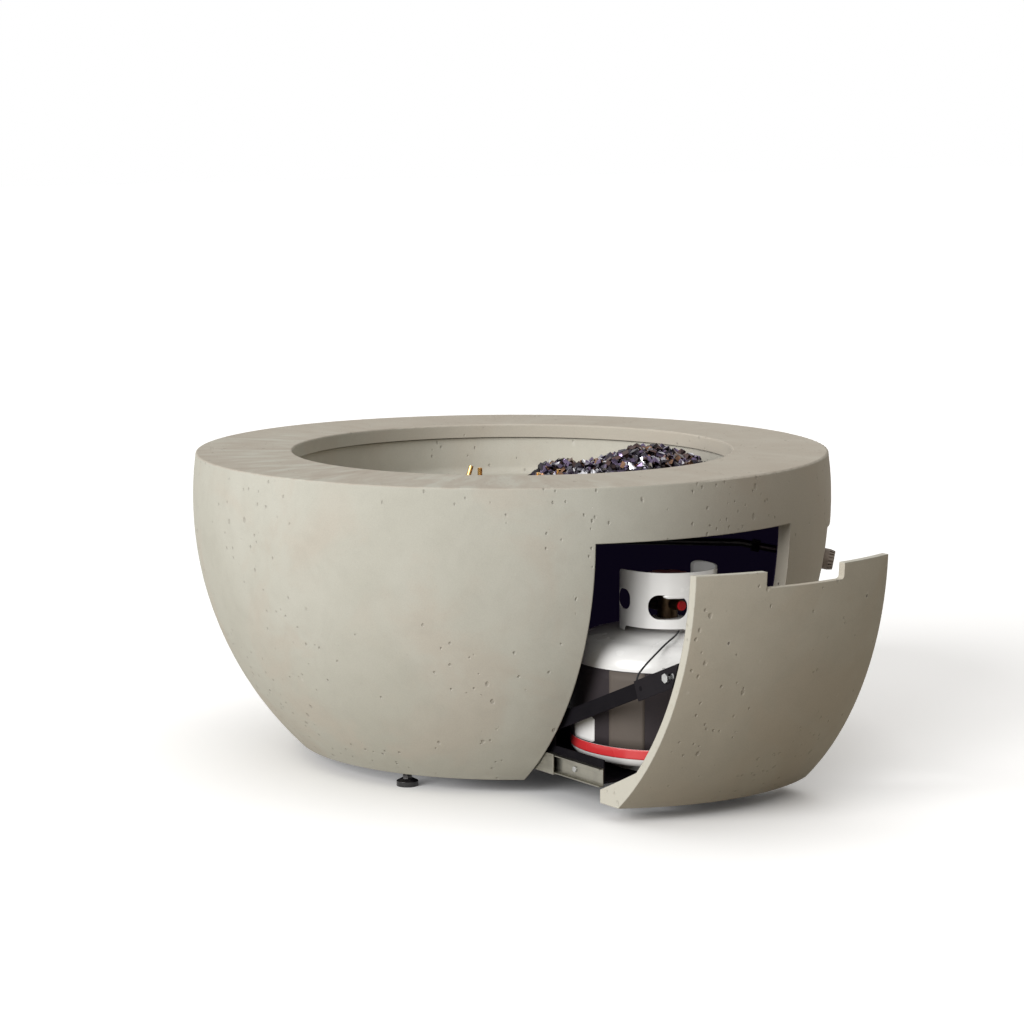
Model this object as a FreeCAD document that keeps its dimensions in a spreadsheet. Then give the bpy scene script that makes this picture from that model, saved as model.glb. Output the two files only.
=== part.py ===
import FreeCAD, Part
import math
import os
import re
import Sketcher

# Propane fire bowl: a round concrete bowl with a burner basin, and a drawer for the gas cylinder.
# Millimetres, +Z up. The origin is on the bowl's axis at floor level, and the drawer opens towards -Y.
# The drawer and all it carries are drawn as if shut, then placed drawer_out forward, half open.

SIZES = {
    # concrete bowl
    "max_radius": 531.0,
    "profile_radius": 565.2,
    "bowl_height": 483.5,
    "equator_drop": 79.8,
    "foot_gap": 24.0,
    "shell_wall": 28.0,
    "rim_thickness": 24.0,
    "rim_edge": 3.0,
    "lip_radius": 366.0,
    "base_lip_width": 38.5,
    "base_lip_height": 28.0,
    "opening_width": 379.4,
    "opening_drop": 85.8,
    "cut_margin": 20.0,
    # fire basin under the rim
    "basin_setback": 6.0,
    "basin_wall": 18.0,
    "basin_depth": 90.0,
    "basin_floor": 18.0,
    "basin_corner": 14.0,
    "flange_width": 44.0,
    "flange_thickness": 14.0,
    "gasket_thickness": 1.6,
    "gasket_setback": 4.0,
    "basin_bolt_inset": 13.0,
    "bolt_embed": 14.0,
    "hole_relief": 2.0,
    # M8 and M6 screws
    "bolt_radius": 4.0,
    "bolt_head_across": 13.0,
    "bolt_head_height": 5.5,
    "bolt_clearance": 0.4,
    "screw_radius": 2.5,
    "screw_head_radius": 4.6,
    "screw_head_height": 2.2,
    "screw_clearance": 0.3,
    # brass burner
    "hub_width": 36.0,
    "hub_height": 24.0,
    "hub_flange_radius": 26.0,
    "hub_flange_thickness": 3.0,
    "nipple_radius": 12.7,
    "nipple_clearance": 1.3,
    "nipple_drop": 14.0,
    "locknut_across": 38.0,
    "locknut_height": 11.0,
    "arm_radius": 9.5,
    "arm_wall": 2.0,
    "arm_length": 140.0,
    "cap_radius": 11.0,
    "cap_length": 8.0,
    "jet_radius": 4.0,
    "jet_length": 22.0,
    "jet_collar_radius": 5.5,
    "jet_collar_length": 5.0,
    "jet_orifice_radius": 1.6,
    "jet_orifice_depth": 6.0,
    "jet_lean": 20.0,
    "jet_inner_station": 47.0,
    "jet_middle_station": 96.0,
    "jet_outer_station": 138.0,
    # heap of fire glass
    "glass_turn": -22.7,
    "glass_station": 217.8,
    "glass_crest": 84.0,
    "glass_reach": 196.0,
    "mound_turn": 22.8,
    "mound_station": 175.7,
    "mound_crest": 52.0,
    "mound_reach": 75.0,
    "glass_slope": 1.2,
    "glass_wall_slope": 4.5,
    "glass_edge": 4.0,
    "glass_relief": 4.5,
    "glass_pitch": 15.0,
    "glass_start": 40.0,
    "glass_turn_pitch": 3.5,
    "glass_turn_low": -87.5,
    "glass_turn_high": 77.0,
    "glass_arm_gap": 16.0,
    "glass_wall_gap": 4.0,
    # gas control on the bowl's side
    "control_turn": 48.5,
    "control_drop": 179.0,
    "recess_width": 122.0,
    "recess_height": 122.0,
    "recess_depth": 7.5,
    "recess_corner": 4.0,
    "neck_radius": 8.5,
    "neck_clearance": 0.5,
    "neck_proud": 5.0,
    "valve_nut_across": 27.0,
    "valve_nut_height": 4.0,
    "valve_flange_radius": 22.0,
    "valve_flange_thickness": 4.0,
    "valve_seat_gap": 0.6,
    "valve_radius": 17.0,
    "valve_length": 44.0,
    "inlet_radius": 9.0,
    "inlet_length": 34.0,
    "inlet_back": 24.0,
    "spigot_length": 40.0,
    "stem_radius": 4.0,
    "stem_clearance": 0.06,
    "stem_depth": 24.0,
    "stem_travel": 3.0,
    "knob_radius": 17.5,
    "knob_taper": 1.5,
    "knob_height": 12.0,
    "knob_back_gap": 5.0,
    "knob_skirt": 3.0,
    "knob_cup_radius": 16.2,
    "knob_cup_depth": 6.0,
    "knob_cover": 4.0,
    "knob_grip_width": 3.0,
    "knob_grip_depth": 1.2,
    # tube from the control to the burner
    "tube_radius": 6.35,
    "tube_wall": 1.2,
    "tube_bend": 16.0,
    "tube_level": 46.0,
    "tube_nut_across": 19.0,
    "tube_nut_length": 14.0,
    "tube_nut_clearance": 0.1,
    # levelling feet
    "foot_turn": 25.5,
    "rear_foot_turn": 37.0,
    "foot_seat": 14.1,
    "pad_radius": 17.5,
    "pad_edge": 8.0,
    "pad_height": 12.0,
    "pad_neck_radius": 10.0,
    "stud_radius": 5.0,
    "stud_clearance": 0.05,
    "stud_hex_across": 14.0,
    "stud_hex_height": 5.0,
    "stud_length": 31.0,
    "insert_radius": 8.0,
    "insert_length": 20.0,
    "insert_clearance": 0.1,
    # base rails and drawer slides
    "slide_gap": 0.5,
    "slide_thickness": 12.7,
    "slide_height": 36.0,
    "slide_lift": 44.0,
    "slide_back_gap": 126.2,
    "slide_front_gap": 1.0,
    "slide_setback": 34.0,
    "slide_sheet": 1.5,
    "slide_play": 0.4,
    "slide_lip": 2.4,
    "slide_hole_share": 0.32,
    "rail_sheet": 3.0,
    "rail_height": 46.0,
    "rail_foot": 37.5,
    "rail_bolt_seat": 9.5,
    "rail_bolt_inset": 7.0,
    "rail_bolt_side": 24.0,
    "crossbar_setback": 50.0,
    "crossbar_height": 34.0,
    "crossbar_tab": 28.0,
    # drawer
    "drawer_out": 234.8,
    "panel_gap": 5.6,
    "panel_top_gap": 18.7,
    "panel_wall": 12.7,
    "notch_width": 148.0,
    "notch_depth": 24.5,
    "notch_corner": 6.0,
    "lip_slope_drop": 7.3,
    "lip_slope_reach": 78.3,
    "tray_sheet": 2.5,
    "tray_nose_gap": 6.0,
    "tray_nose_side": 46.0,
    "tray_nose_play": 3.0,
    "tray_rise": 37.0,
    "tray_back_rise": 24.0,
    "tray_ear_width": 46.0,
    "tray_bolt_side": 110.0,
    "tray_bolt_seat": 27.1,
    "locator_radius": 83.0,
    "locator_wall": 3.0,
    "locator_height": 8.0,
    # braces from the tray to the panel
    "brace_sheet": 3.0,
    "brace_width": 23.0,
    "brace_foot": 113.5,
    "brace_foot_level": 114.7,
    "brace_end_back": 58.0,
    "plate_sheet": 2.5,
    "plate_start_back": 82.8,
    "plate_upper": 14.1,
    "plate_start_lower": 16.8,
    "plate_end_lower": 16.8,
    "plate_low_reach": 5.2,
    "plate_high_reach": 34.2,
    "slot_back": 5.5,
    "slot_reach": 16.5,
    "slot_width": 9.0,
    "slot_corner": 4.3,
    "plate_rivet_back": 70.0,
    "rivet_radius": 4.0,
    "rivet_head_radius": 6.0,
    "rivet_head_height": 2.0,
    "bracket_low": 231.0,
    "bracket_height": 24.0,
    "bracket_width": 50.0,
    "bracket_depth": 33.0,
    "bracket_screw_pitch": 13.0,
    "bracket_screw_inset": 20.0,
    "bracket_face_gap": 1.0,
    "bracket_bolt_back": 17.0,
    "boss_length": 60.0,
    # gas cylinder
    "tank_station": 192.2,
    "tank_radius": 152.0,
    "tank_wall": 3.0,
    "tank_bottom_level": 34.0,
    "tank_bottom_depth": 20.0,
    "tank_bottom_knuckle": 17.0,
    "tank_top_level": 166.0,
    "tank_top_depth": 52.0,
    "tank_top_knuckle": 38.0,
    "tank_boss_radius": 25.0,
    "tank_boss_height": 10.0,
    "ring_radius": 94.5,
    "ring_wall": 3.0,
    "ring_weld_gap": 0.4,
    "ring_hole_radius": 3.2,
    "ring_hole_level": 9.5,
    "collar_radius": 77.0,
    "collar_wall": 3.0,
    "collar_top": 308.5,
    "collar_weld_gap": 0.4,
    "collar_arch_turn": 55.9,
    "collar_arch_width": 102.5,
    "collar_arch_height": 9.0,
    "collar_arch_corner": 7.0,
    "collar_gap_width": 140.0,
    "collar_gap_round": 8.0,
    "hand_hole_turn": 37.5,
    "hand_hole_width": 60.0,
    "hand_hole_height": 38.0,
    "hand_hole_level": 255.0,
    "hand_hole_corner": 17.0,
    "side_hole_turn": 100.5,
    "side_hole_width": 37.0,
    "side_hole_height": 32.0,
    "side_hole_level": 262.0,
    "side_hole_corner": 13.0,
    "tank_neck_radius": 14.0,
    "tank_neck_clearance": 0.1,
    "tank_neck_depth": 22.0,
    "tank_valve_radius": 16.0,
    "tank_valve_height": 40.0,
    "outlet_radius": 15.0,
    "outlet_length": 42.0,
    "outlet_level": 22.0,
    "outlet_bore": 8.0,
    "outlet_bore_depth": 24.0,
    "relief_radius": 9.0,
    "relief_length": 34.0,
    "relief_cap_radius": 7.2,
    "relief_cap_thickness": 4.0,
    "bonnet_radius": 9.0,
    "bonnet_height": 14.0,
    "spindle_radius": 4.0,
    "spindle_length": 12.0,
    "spindle_clearance": 0.05,
    "wheel_radius": 30.0,
    "wheel_thickness": 15.0,
    "wheel_gap": 1.0,
    "wheel_scallop_radius": 9.0,
    "wheel_scallop_station": 35.0,
    "wheel_cover": 3.0,
    # tether between the collar and a brace
    "cord_radius": 1.5,
}

DERIVED = {
    "rim_height": "foot_gap + bowl_height",
    "equator_height": "rim_height - equator_drop",
    "profile_offset": "profile_radius - max_radius",
    "rim_radius": "sqrt(profile_radius^2 - equator_drop^2) - profile_offset",
    "rim_side_radius": "sqrt(profile_radius^2 - (equator_drop - rim_edge)^2) - profile_offset",
    "base_radius": "sqrt(profile_radius^2 - (equator_height - foot_gap)^2) - profile_offset",
    "inner_radius": "profile_radius - shell_wall",
    "slab_under": "rim_height - rim_thickness",
    "slab_inner_radius": "sqrt(inner_radius^2 - (slab_under - equator_height)^2) - profile_offset",
    "lip_top": "foot_gap + base_lip_height",
    "lip_top_radius": "sqrt(inner_radius^2 - (equator_height - lip_top)^2) - profile_offset",
    "lip_inner_radius": "base_radius - base_lip_width",
    "foot_station": "lip_inner_radius + foot_seat",
    "opening_top": "rim_height - opening_drop",
    "basin_radius": "lip_radius + basin_setback",
    "basin_outer_radius": "basin_radius + basin_wall",
    "basin_top": "slab_under - gasket_thickness",
    "flange_radius": "basin_radius + flange_width",
    "flange_under": "basin_top - flange_thickness",
    "floor_top": "rim_height - basin_depth",
    "floor_under": "floor_top - basin_floor",
    "basin_bolt_circle": "basin_outer_radius + basin_bolt_inset",
    "arm_level": "floor_top + hub_flange_thickness + hub_height / 2",
    "nipple_end": "floor_under - nipple_drop",
    "glass_curve": "(glass_reach^2 + glass_crest^2) / (2 * glass_crest)",
    "mound_curve": "(mound_reach^2 + mound_crest^2) / (2 * mound_crest)",
    "glass_round": "basin_radius - basin_corner - glass_wall_gap",
    "control_tilt": "asin((equator_height - rim_height + control_drop) / profile_radius) / 1 deg",
    "control_radius": "profile_radius - recess_depth",
    "wall_behind": "shell_wall - recess_depth",
    "spigot_end": "wall_behind + valve_seat_gap + valve_flange_thickness + valve_length + spigot_length",
    "tube_run": "floor_under - tube_level",
    "slide_face": "opening_width / 2 - slide_gap",
    "tray_half": "slide_face - slide_thickness",
    "rail_bolt_y": "sqrt((lip_inner_radius + rail_bolt_seat)^2 - (slide_face + rail_bolt_side)^2)",
    "rail_half": "rail_bolt_y + rail_bolt_inset",
    "crossbar_station": "rail_half - crossbar_setback",
    "slide_top": "slide_lift + slide_height",
    "slide_middle": "slide_lift + slide_height / 2",
    "panel_half": "opening_width / 2 - panel_gap",
    "panel_top": "opening_top - panel_top_gap",
    "panel_inner_radius": "profile_radius - panel_wall",
    "panel_lip_radius": "sqrt(panel_inner_radius^2 - (equator_height - lip_top)^2) - profile_offset",
    "slope_end_radius": "lip_inner_radius + lip_slope_reach",
    "slope_end_level": "equator_height - sqrt(panel_inner_radius^2 - (slope_end_radius + profile_offset)^2)",
    "panel_top_inner": "sqrt(panel_inner_radius^2 - (equator_height - panel_top)^2) - profile_offset",
    "panel_top_outer": "sqrt(profile_radius^2 - (equator_height - panel_top)^2) - profile_offset",
    "slide_front": "sqrt(lip_inner_radius^2 - panel_half^2) - slide_front_gap",
    "slide_back": "rail_half - slide_back_gap",
    "slide_length": "slide_front + slide_back",
    "slide_hole_pitch": "slide_length * slide_hole_share",
    "tray_top": "lip_top + tray_sheet",
    "tray_nose": "panel_lip_radius - tray_nose_gap",
    "tray_nose_half": "tray_half - tray_nose_side",
    "tray_nose_front": "sqrt(tray_nose^2 - tray_nose_half^2)",
    "nose_pocket_half": "tray_nose_half + tray_nose_play",
    "nose_pocket_front": "sqrt(panel_lip_radius^2 - nose_pocket_half^2)",
    "tray_bolt_station": "lip_inner_radius + tray_bolt_seat",
    "tray_flange_top": "lip_top + tray_rise",
    "tray_ear_top": "brace_foot_level + brace_width / 2",
    "plate_inner": "tray_half + brace_sheet",
    "plate_outer": "plate_inner + plate_sheet",
    "bracket_top": "bracket_low + bracket_height",
    "bracket_round": "sqrt(panel_inner_radius^2 - (equator_height - bracket_low)^2) - profile_offset",
    "bracket_reach": "sqrt(bracket_round^2 - plate_outer^2)",
    "bracket_face": "bracket_reach - bracket_face_gap",
    "bracket_inner": "plate_inner - bracket_width",
    "brace_run": "bracket_face - bracket_bolt_back - brace_foot",
    "brace_climb": "bracket_low + bracket_height / 2 - brace_foot_level",
    "brace_angle": "atan(brace_climb / brace_run) / 1 deg",
    "slot_bolt": "sqrt(brace_run^2 + brace_climb^2)",
    "brace_length": "slot_bolt - brace_end_back",
    "plate_start": "slot_bolt - plate_start_back",
    "plate_rivet": "slot_bolt - plate_rivet_back",
    "plate_low_end": "slot_bolt + plate_low_reach",
    "plate_high_end": "slot_bolt + plate_high_reach",
    "slot_start": "slot_bolt - slot_back",
    "slot_end": "slot_bolt + slot_reach",
    "tank_base": "tray_top",
    "tank_rest": "tank_station + drawer_out",
    "top_crown": "((tank_radius - tank_top_knuckle)^2 + tank_top_depth^2 - tank_top_knuckle^2)"
                 " / (2 * (tank_top_depth - tank_top_knuckle))",
    "top_sine": "(tank_radius - tank_top_knuckle) / (top_crown - tank_top_knuckle)",
    "top_cosine": "sqrt(1 - top_sine^2)",
    "top_centre": "tank_top_level + tank_top_depth - top_crown",
    "bottom_crown": "((tank_radius - tank_bottom_knuckle)^2 + tank_bottom_depth^2 - tank_bottom_knuckle^2)"
                    " / (2 * (tank_bottom_depth - tank_bottom_knuckle))",
    "bottom_sine": "(tank_radius - tank_bottom_knuckle) / (bottom_crown - tank_bottom_knuckle)",
    "bottom_cosine": "sqrt(1 - bottom_sine^2)",
    "bottom_centre": "tank_bottom_level - tank_bottom_depth + bottom_crown",
    "boss_top": "tank_top_level + tank_top_depth + tank_boss_height",
    "boss_foot": "top_centre + sqrt(top_crown^2 - tank_boss_radius^2)",
    "neck_bore": "tank_neck_radius + tank_neck_clearance",
    "neck_foot": "top_centre + sqrt((top_crown - tank_wall)^2 - neck_bore^2)",
    "collar_foot": "top_centre + sqrt(top_crown^2 - (collar_radius - collar_wall)^2) + collar_weld_gap",
    "collar_arch_top": "top_centre + sqrt(top_crown^2 - collar_radius^2) + collar_arch_height",
    "ring_top": "bottom_centre - sqrt(bottom_crown^2 - (ring_radius - ring_wall)^2) - ring_weld_gap",
    "valve_top": "boss_top + tank_valve_height",
    "wheel_foot": "valve_top + bonnet_height + wheel_gap",
    "knob_foot": "neck_proud + knob_back_gap",
    "knob_top": "knob_foot + knob_height",
    "stem_top": "knob_top - knob_cover",
}

ACROSS_TO_CORNER = "2 * cos(30 deg)"
FULL_TURN = 360.0
SIDES = {"left": -1, "right": 1}

doc = FreeCAD.newDocument("fire_bowl")
sheet = doc.addObject("Spreadsheet::Sheet", "Dim")
nodes = []


def fill_sheet():
    """Writes every size into the sheet: driving sizes as plain numbers, the rest as formulas."""
    cells = [(name, str(number)) for name, number in SIZES.items()]
    cells += [(name, "=" + formula) for name, formula in DERIVED.items()]
    for row, (name, text) in enumerate(cells, start=1):
        sheet.set("A%d" % row, name)
        sheet.set("B%d" % row, text)
        sheet.setAlias("B%d" % row, name)
    doc.recompute()


def bound(text):
    """The expression with each size looked up in the sheet."""
    def look_up(match):
        word = match.group(0)
        return "Dim." + word if word in SIZES or word in DERIVED else word
    return re.sub(r"[a-z_]+", look_up, str(text))


def value(text):
    """The number that an expression gives now."""
    return float(sheet.evalExpression(bound(text)))


def bind(thing, prop, text):
    thing.setExpression(prop, bound(text))


def spot(x, y, z):
    return FreeCAD.Vector(value(x), value(y), value(z))


# Sketches

def new_body(label, y="0", x="0", z="0"):
    """A named body; a piece of the drawer gets its y from drawer_out."""
    body = doc.addObject("PartDesign::Body", label)
    body.Label = label
    body.AllowCompound = True
    for axis, text in zip("xyz", (x, y, z)):
        bind(body, "Placement.Base." + axis, text)
    nodes.append(body)
    return body


def origin_feature(body, role):
    return [feature for feature in body.Origin.OriginFeatures if feature.Role == role][0]


def sketch_on(body, plane, offset="0", turn=None):
    """A sketch on one of the body's planes, moved along its normal, or turned about the body's Z axis."""
    sketch = body.newObject("Sketcher::SketchObject", "sketch")
    sketch.AttachmentSupport = [(origin_feature(body, plane + "_Plane"), "")]
    sketch.MapMode = "FlatFace"
    if turn is not None:
        turned = FreeCAD.Rotation(FreeCAD.Vector(0, 1, 0), value(turn))
        sketch.AttachmentOffset = FreeCAD.Placement(FreeCAD.Vector(), turned)
    bind(sketch, "AttachmentOffset.Base.z", offset)
    return sketch


def hold_point(sketch, edge, end, x, y):
    """Ties a point of the sketch to its two coordinates."""
    for kind, axis, text in (("DistanceX", -2, x), ("DistanceY", -1, y)):
        if str(text) == "0":
            sketch.addConstraint(Sketcher.Constraint("PointOnObject", edge, end, axis))
        else:
            rule = sketch.addConstraint(Sketcher.Constraint(kind, -1, 1, edge, end, value(text)))
            bind(sketch, "Constraints[%d]" % rule, text)


def arc_between(start, end, radius, turn):
    """The arc from start to end that turns left or right; its own ends run anticlockwise."""
    chord = end - start
    rise = math.sqrt(max(radius ** 2 - chord.Length ** 2 / 4, 0))
    across = FreeCAD.Vector(-chord.y, chord.x, 0).normalize()
    centre = (start + end) * 0.5 + across * (rise if turn == "left" else -rise)
    first, last = (start, end) if turn == "left" else (end, start)
    angles = [math.atan2(point.y - centre.y, point.x - centre.x) for point in (first, last)]
    return Part.ArcOfCircle(Part.Circle(centre, FreeCAD.Vector(0, 0, 1), radius), angles[0], angles[1])


def outline(sketch, corners):
    """A closed outline. A corner (x, y) starts a straight edge, (x, y, radius, turn) an arc."""
    points = [spot(corner[0], corner[1], 0) for corner in corners]
    first_edge = sketch.GeometryCount
    ends = []
    for i, corner in enumerate(corners):
        start, end = points[i], points[(i + 1) % len(points)]
        if len(corner) == 2:
            sketch.addGeometry(Part.LineSegment(start, end), False)
            ends.append((1, 2))
        else:
            sketch.addGeometry(arc_between(start, end, value(corner[2]), corner[3]), False)
            ends.append((1, 2) if corner[3] == "left" else (2, 1))
    for i in range(len(corners)):
        after = (i + 1) % len(corners)
        here, there = (first_edge + i, ends[i][1]), (first_edge + after, ends[after][0])
        sketch.addConstraint(Sketcher.Constraint("Coincident", *here, *there))
    for i, corner in enumerate(corners):
        hold_point(sketch, first_edge + i, ends[i][0], corner[0], corner[1])
        if len(corner) == 4:
            rule = sketch.addConstraint(Sketcher.Constraint("Radius", first_edge + i, value(corner[2])))
            bind(sketch, "Constraints[%d]" % rule, corner[2])


def circle(sketch, x, y, radius):
    edge = sketch.addGeometry(Part.Circle(spot(x, y, 0), FreeCAD.Vector(0, 0, 1), value(radius)), False)
    rule = sketch.addConstraint(Sketcher.Constraint("Radius", edge, value(radius)))
    bind(sketch, "Constraints[%d]" % rule, radius)
    hold_point(sketch, edge, 3, x, y)


def box_corners(x_low, x_high, y_low, y_high):
    return [(x_low, y_low), (x_high, y_low), (x_high, y_high), (x_low, y_high)]


def round_box(x, y, width, height, corner):
    """Corners of a rectangle with rounded corners, centred on (x, y)."""
    left, right = "%s - %s / 2" % (x, width), "%s + %s / 2" % (x, width)
    low, high = "%s - %s / 2" % (y, height), "%s + %s / 2" % (y, height)
    return [
        (left + " + " + corner, low),
        (right + " - " + corner, low, corner, "left"),
        (right, low + " + " + corner),
        (right, high + " - " + corner, corner, "left"),
        (right + " - " + corner, high),
        (left + " + " + corner, high, corner, "left"),
        (left, high + " - " + corner),
        (left, low + " + " + corner, corner, "left"),
    ]


def hexagon(x, y, across):
    """Corners of a hexagon, given the size across its flats."""
    corner = "(%s) / (%s)" % (across, ACROSS_TO_CORNER)
    return [
        ("%s + %s * cos(%d deg)" % (x, corner, 60 * i), "%s + %s * sin(%d deg)" % (y, corner, 60 * i))
        for i in range(6)
    ]


# Features

def solid_feature(body, kind, sketch):
    feature = body.newObject("PartDesign::" + kind, kind.lower())
    feature.Profile = sketch
    return feature


def pad(body, sketch, length, reverse=False):
    feature = solid_feature(body, "Pad", sketch)
    bind(feature, "Length", length)
    feature.Reversed = reverse
    doc.recompute()
    return feature


def revolve(body, sketch):
    feature = solid_feature(body, "Revolution", sketch)
    feature.ReferenceAxis = (sketch, ["V_Axis"])
    feature.Angle = FULL_TURN
    doc.recompute()
    return feature


def require_cut(body, before):
    doc.recompute()
    if body.Shape.Volume >= before:
        raise RuntimeError(body.Label + " has a cut that removes nothing")


def pocket(body, sketch, length, reverse=False):
    """Cuts against the sketch's normal, or along it when reversed."""
    doc.recompute()
    before = body.Shape.Volume
    feature = solid_feature(body, "Pocket", sketch)
    bind(feature, "Length", length)
    feature.Reversed = reverse
    require_cut(body, before)
    return feature


def groove(body, sketch):
    before = body.Shape.Volume
    feature = solid_feature(body, "Groove", sketch)
    feature.ReferenceAxis = (sketch, ["V_Axis"])
    feature.Angle = FULL_TURN
    require_cut(body, before)
    return feature


def around_axis(body, features, count):
    """Repeats features round the body's Z axis."""
    pattern = body.newObject("PartDesign::PolarPattern", "pattern")
    pattern.Originals = features
    pattern.Axis = (origin_feature(body, "Z_Axis"), [""])
    pattern.Angle = FULL_TURN
    pattern.Occurrences = count
    body.Tip = pattern
    doc.recompute()
    return pattern


# Primitives for fasteners and other turned pieces

def move(thing, x="0", y="0", z="0", rotation=None):
    if rotation:
        thing.Placement = FreeCAD.Placement(FreeCAD.Vector(), rotation)
    for axis, text in zip("xyz", (x, y, z)):
        bind(thing, "Placement.Base." + axis, text)


def rod(radius, length, start="0"):
    """A cylinder along Z from start."""
    thing = doc.addObject("Part::Cylinder", "rod")
    bind(thing, "Radius", radius)
    bind(thing, "Height", length)
    move(thing, z=start)
    return thing


def hex_rod(across, length, start="0"):
    thing = doc.addObject("Part::Prism", "hex")
    thing.Polygon = 6
    bind(thing, "Circumradius", "(%s) / (%s)" % (across, ACROSS_TO_CORNER))
    bind(thing, "Height", length)
    move(thing, z=start)
    return thing


def fuse(base, tool):
    thing = doc.addObject("Part::Fuse", "fuse")
    thing.Base = base
    thing.Tool = tool
    return thing


def cut(base, tool):
    thing = doc.addObject("Part::Cut", "cut")
    thing.Base = base
    thing.Tool = tool
    return thing


def group(label, members):
    """One node made of several separate solids."""
    thing = doc.addObject("Part::Compound", label)
    thing.Label = label
    thing.Links = members
    nodes.append(thing)
    return thing


def hex_bolt(shank):
    """An M8 bolt: its head stands on +Z above the seat at zero, and its shank runs down -Z."""
    return fuse(hex_rod("bolt_head_across", "bolt_head_height"), rod("bolt_radius", shank, "-(%s)" % shank))


def pan_screw(shank):
    """An M5 screw with a round head above the seat at zero."""
    return fuse(rod("screw_head_radius", "screw_head_height"), rod("screw_radius", shank, "-(%s)" % shank))


UPSIDE_DOWN = FreeCAD.Rotation(FreeCAD.Vector(1, 0, 0), 180)
TO_FRONT = FreeCAD.Rotation(FreeCAD.Vector(1, 0, 0), 90)
TO_BACK = FreeCAD.Rotation(FreeCAD.Vector(1, 0, 0), -90)


def to_side(side):
    """Turns +Z towards +X or -X."""
    return FreeCAD.Rotation(FreeCAD.Vector(0, 1, 0), 90 * side)


def ring_spots(radius, count, first):
    """Places on a circle about the axis, as pairs of expressions."""
    turns = [first + FULL_TURN * i / count for i in range(count)]
    return [("%s * cos(%g deg)" % (radius, a), "%s * sin(%g deg)" % (radius, a)) for a in turns]


BASIN_BOLTS = ring_spots("basin_bolt_circle", 6, 30)
FRONT_FEET = ["foot_station * %s(foot_turn * 1 deg)" % part for part in ("cos", "sin")]
REAR_FEET = ["foot_station * %s(rear_foot_turn * 1 deg)" % part for part in ("cos", "sin")]
FEET = {
    "front_left": ("-" + FRONT_FEET[0], "-" + FRONT_FEET[1]),
    "front_right": (FRONT_FEET[0], "-" + FRONT_FEET[1]),
    "rear_left": ("-" + REAR_FEET[0], REAR_FEET[1]),
    "rear_right": (REAR_FEET[0], REAR_FEET[1]),
}
RAIL_BOLTS = [
    ("%d * (slide_face + rail_bolt_side)" % side, "%d * rail_bolt_y" % end)
    for side in (-1, 1) for end in (-1, 1)
]
SLIDE_HOLES = ["slide_back - slide_length / 2 + %d * slide_hole_pitch" % i for i in (-1, 0, 1)]


# The bowl

def control_place():
    """Where the gas control stands: on the recess floor, square to the bowl, with local +Z outwards."""
    turn = FreeCAD.Rotation(FreeCAD.Vector(0, 0, 1), value("control_turn"))
    upright = FreeCAD.Rotation(FreeCAD.Vector(1, 0, 0), 90 + value("control_tilt"))
    rotation = turn * upright
    outwards = rotation.multVec(FreeCAD.Vector(0, 0, 1))
    profile_centre = turn.multVec(spot("0", "profile_offset", "equator_height"))
    return FreeCAD.Placement(profile_centre + outwards * value("control_radius"), rotation)


def recess_sketch(body):
    """A sketch on the recess floor, in the bowl's own body."""
    sketch = sketch_on(body, "XZ")
    on_plane = FreeCAD.Placement(FreeCAD.Vector(), TO_FRONT)
    sketch.setExpression("AttachmentOffset.Base.z", None)
    sketch.AttachmentOffset = on_plane.inverse() * control_place()
    return sketch


def make_bowl_shell():
    body = new_body("bowl_shell")
    section = sketch_on(body, "XZ")
    outline(section, [
        ("lip_radius + rim_edge", "rim_height"),
        ("rim_radius - rim_edge", "rim_height", "rim_edge", "right"),
        ("rim_side_radius", "rim_height - rim_edge", "profile_radius", "right"),
        ("base_radius", "foot_gap"),
        ("lip_inner_radius", "foot_gap"),
        ("lip_inner_radius", "lip_top"),
        ("lip_top_radius", "lip_top", "inner_radius", "left"),
        ("slab_inner_radius", "slab_under"),
        ("lip_radius", "slab_under"),
        ("lip_radius", "rim_height - rim_edge", "rim_edge", "right"),
    ])
    revolve(body, section)
    opening = sketch_on(body, "XZ")
    half = "opening_width / 2"
    outline(opening, box_corners("-" + half, half, "foot_gap - cut_margin", "opening_top"))
    pocket(body, opening, "max_radius + cut_margin", reverse=True)
    recess = recess_sketch(body)
    outline(recess, round_box("0", "0", "recess_width", "recess_height", "recess_corner"))
    pocket(body, recess, "recess_depth + cut_margin", reverse=True)
    bore = recess_sketch(body)
    circle(bore, "0", "0", "neck_radius + neck_clearance")
    pocket(body, bore, "shell_wall + cut_margin")
    bolt_holes = sketch_on(body, "XY", "slab_under")
    for x, y in BASIN_BOLTS:
        circle(bolt_holes, x, y, "bolt_radius + stud_clearance")
    pocket(body, bolt_holes, "bolt_embed + hole_relief", reverse=True)
    foot_holes = sketch_on(body, "XY", "foot_gap")
    for x, y in FEET.values():
        circle(foot_holes, x, y, "insert_radius + insert_clearance")
    pocket(body, foot_holes, "insert_length", reverse=True)
    rail_holes = sketch_on(body, "XY", "lip_top")
    for x, y in RAIL_BOLTS:
        circle(rail_holes, x, y, "bolt_radius + stud_clearance")
    pocket(body, rail_holes, "bolt_embed + hole_relief")


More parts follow.
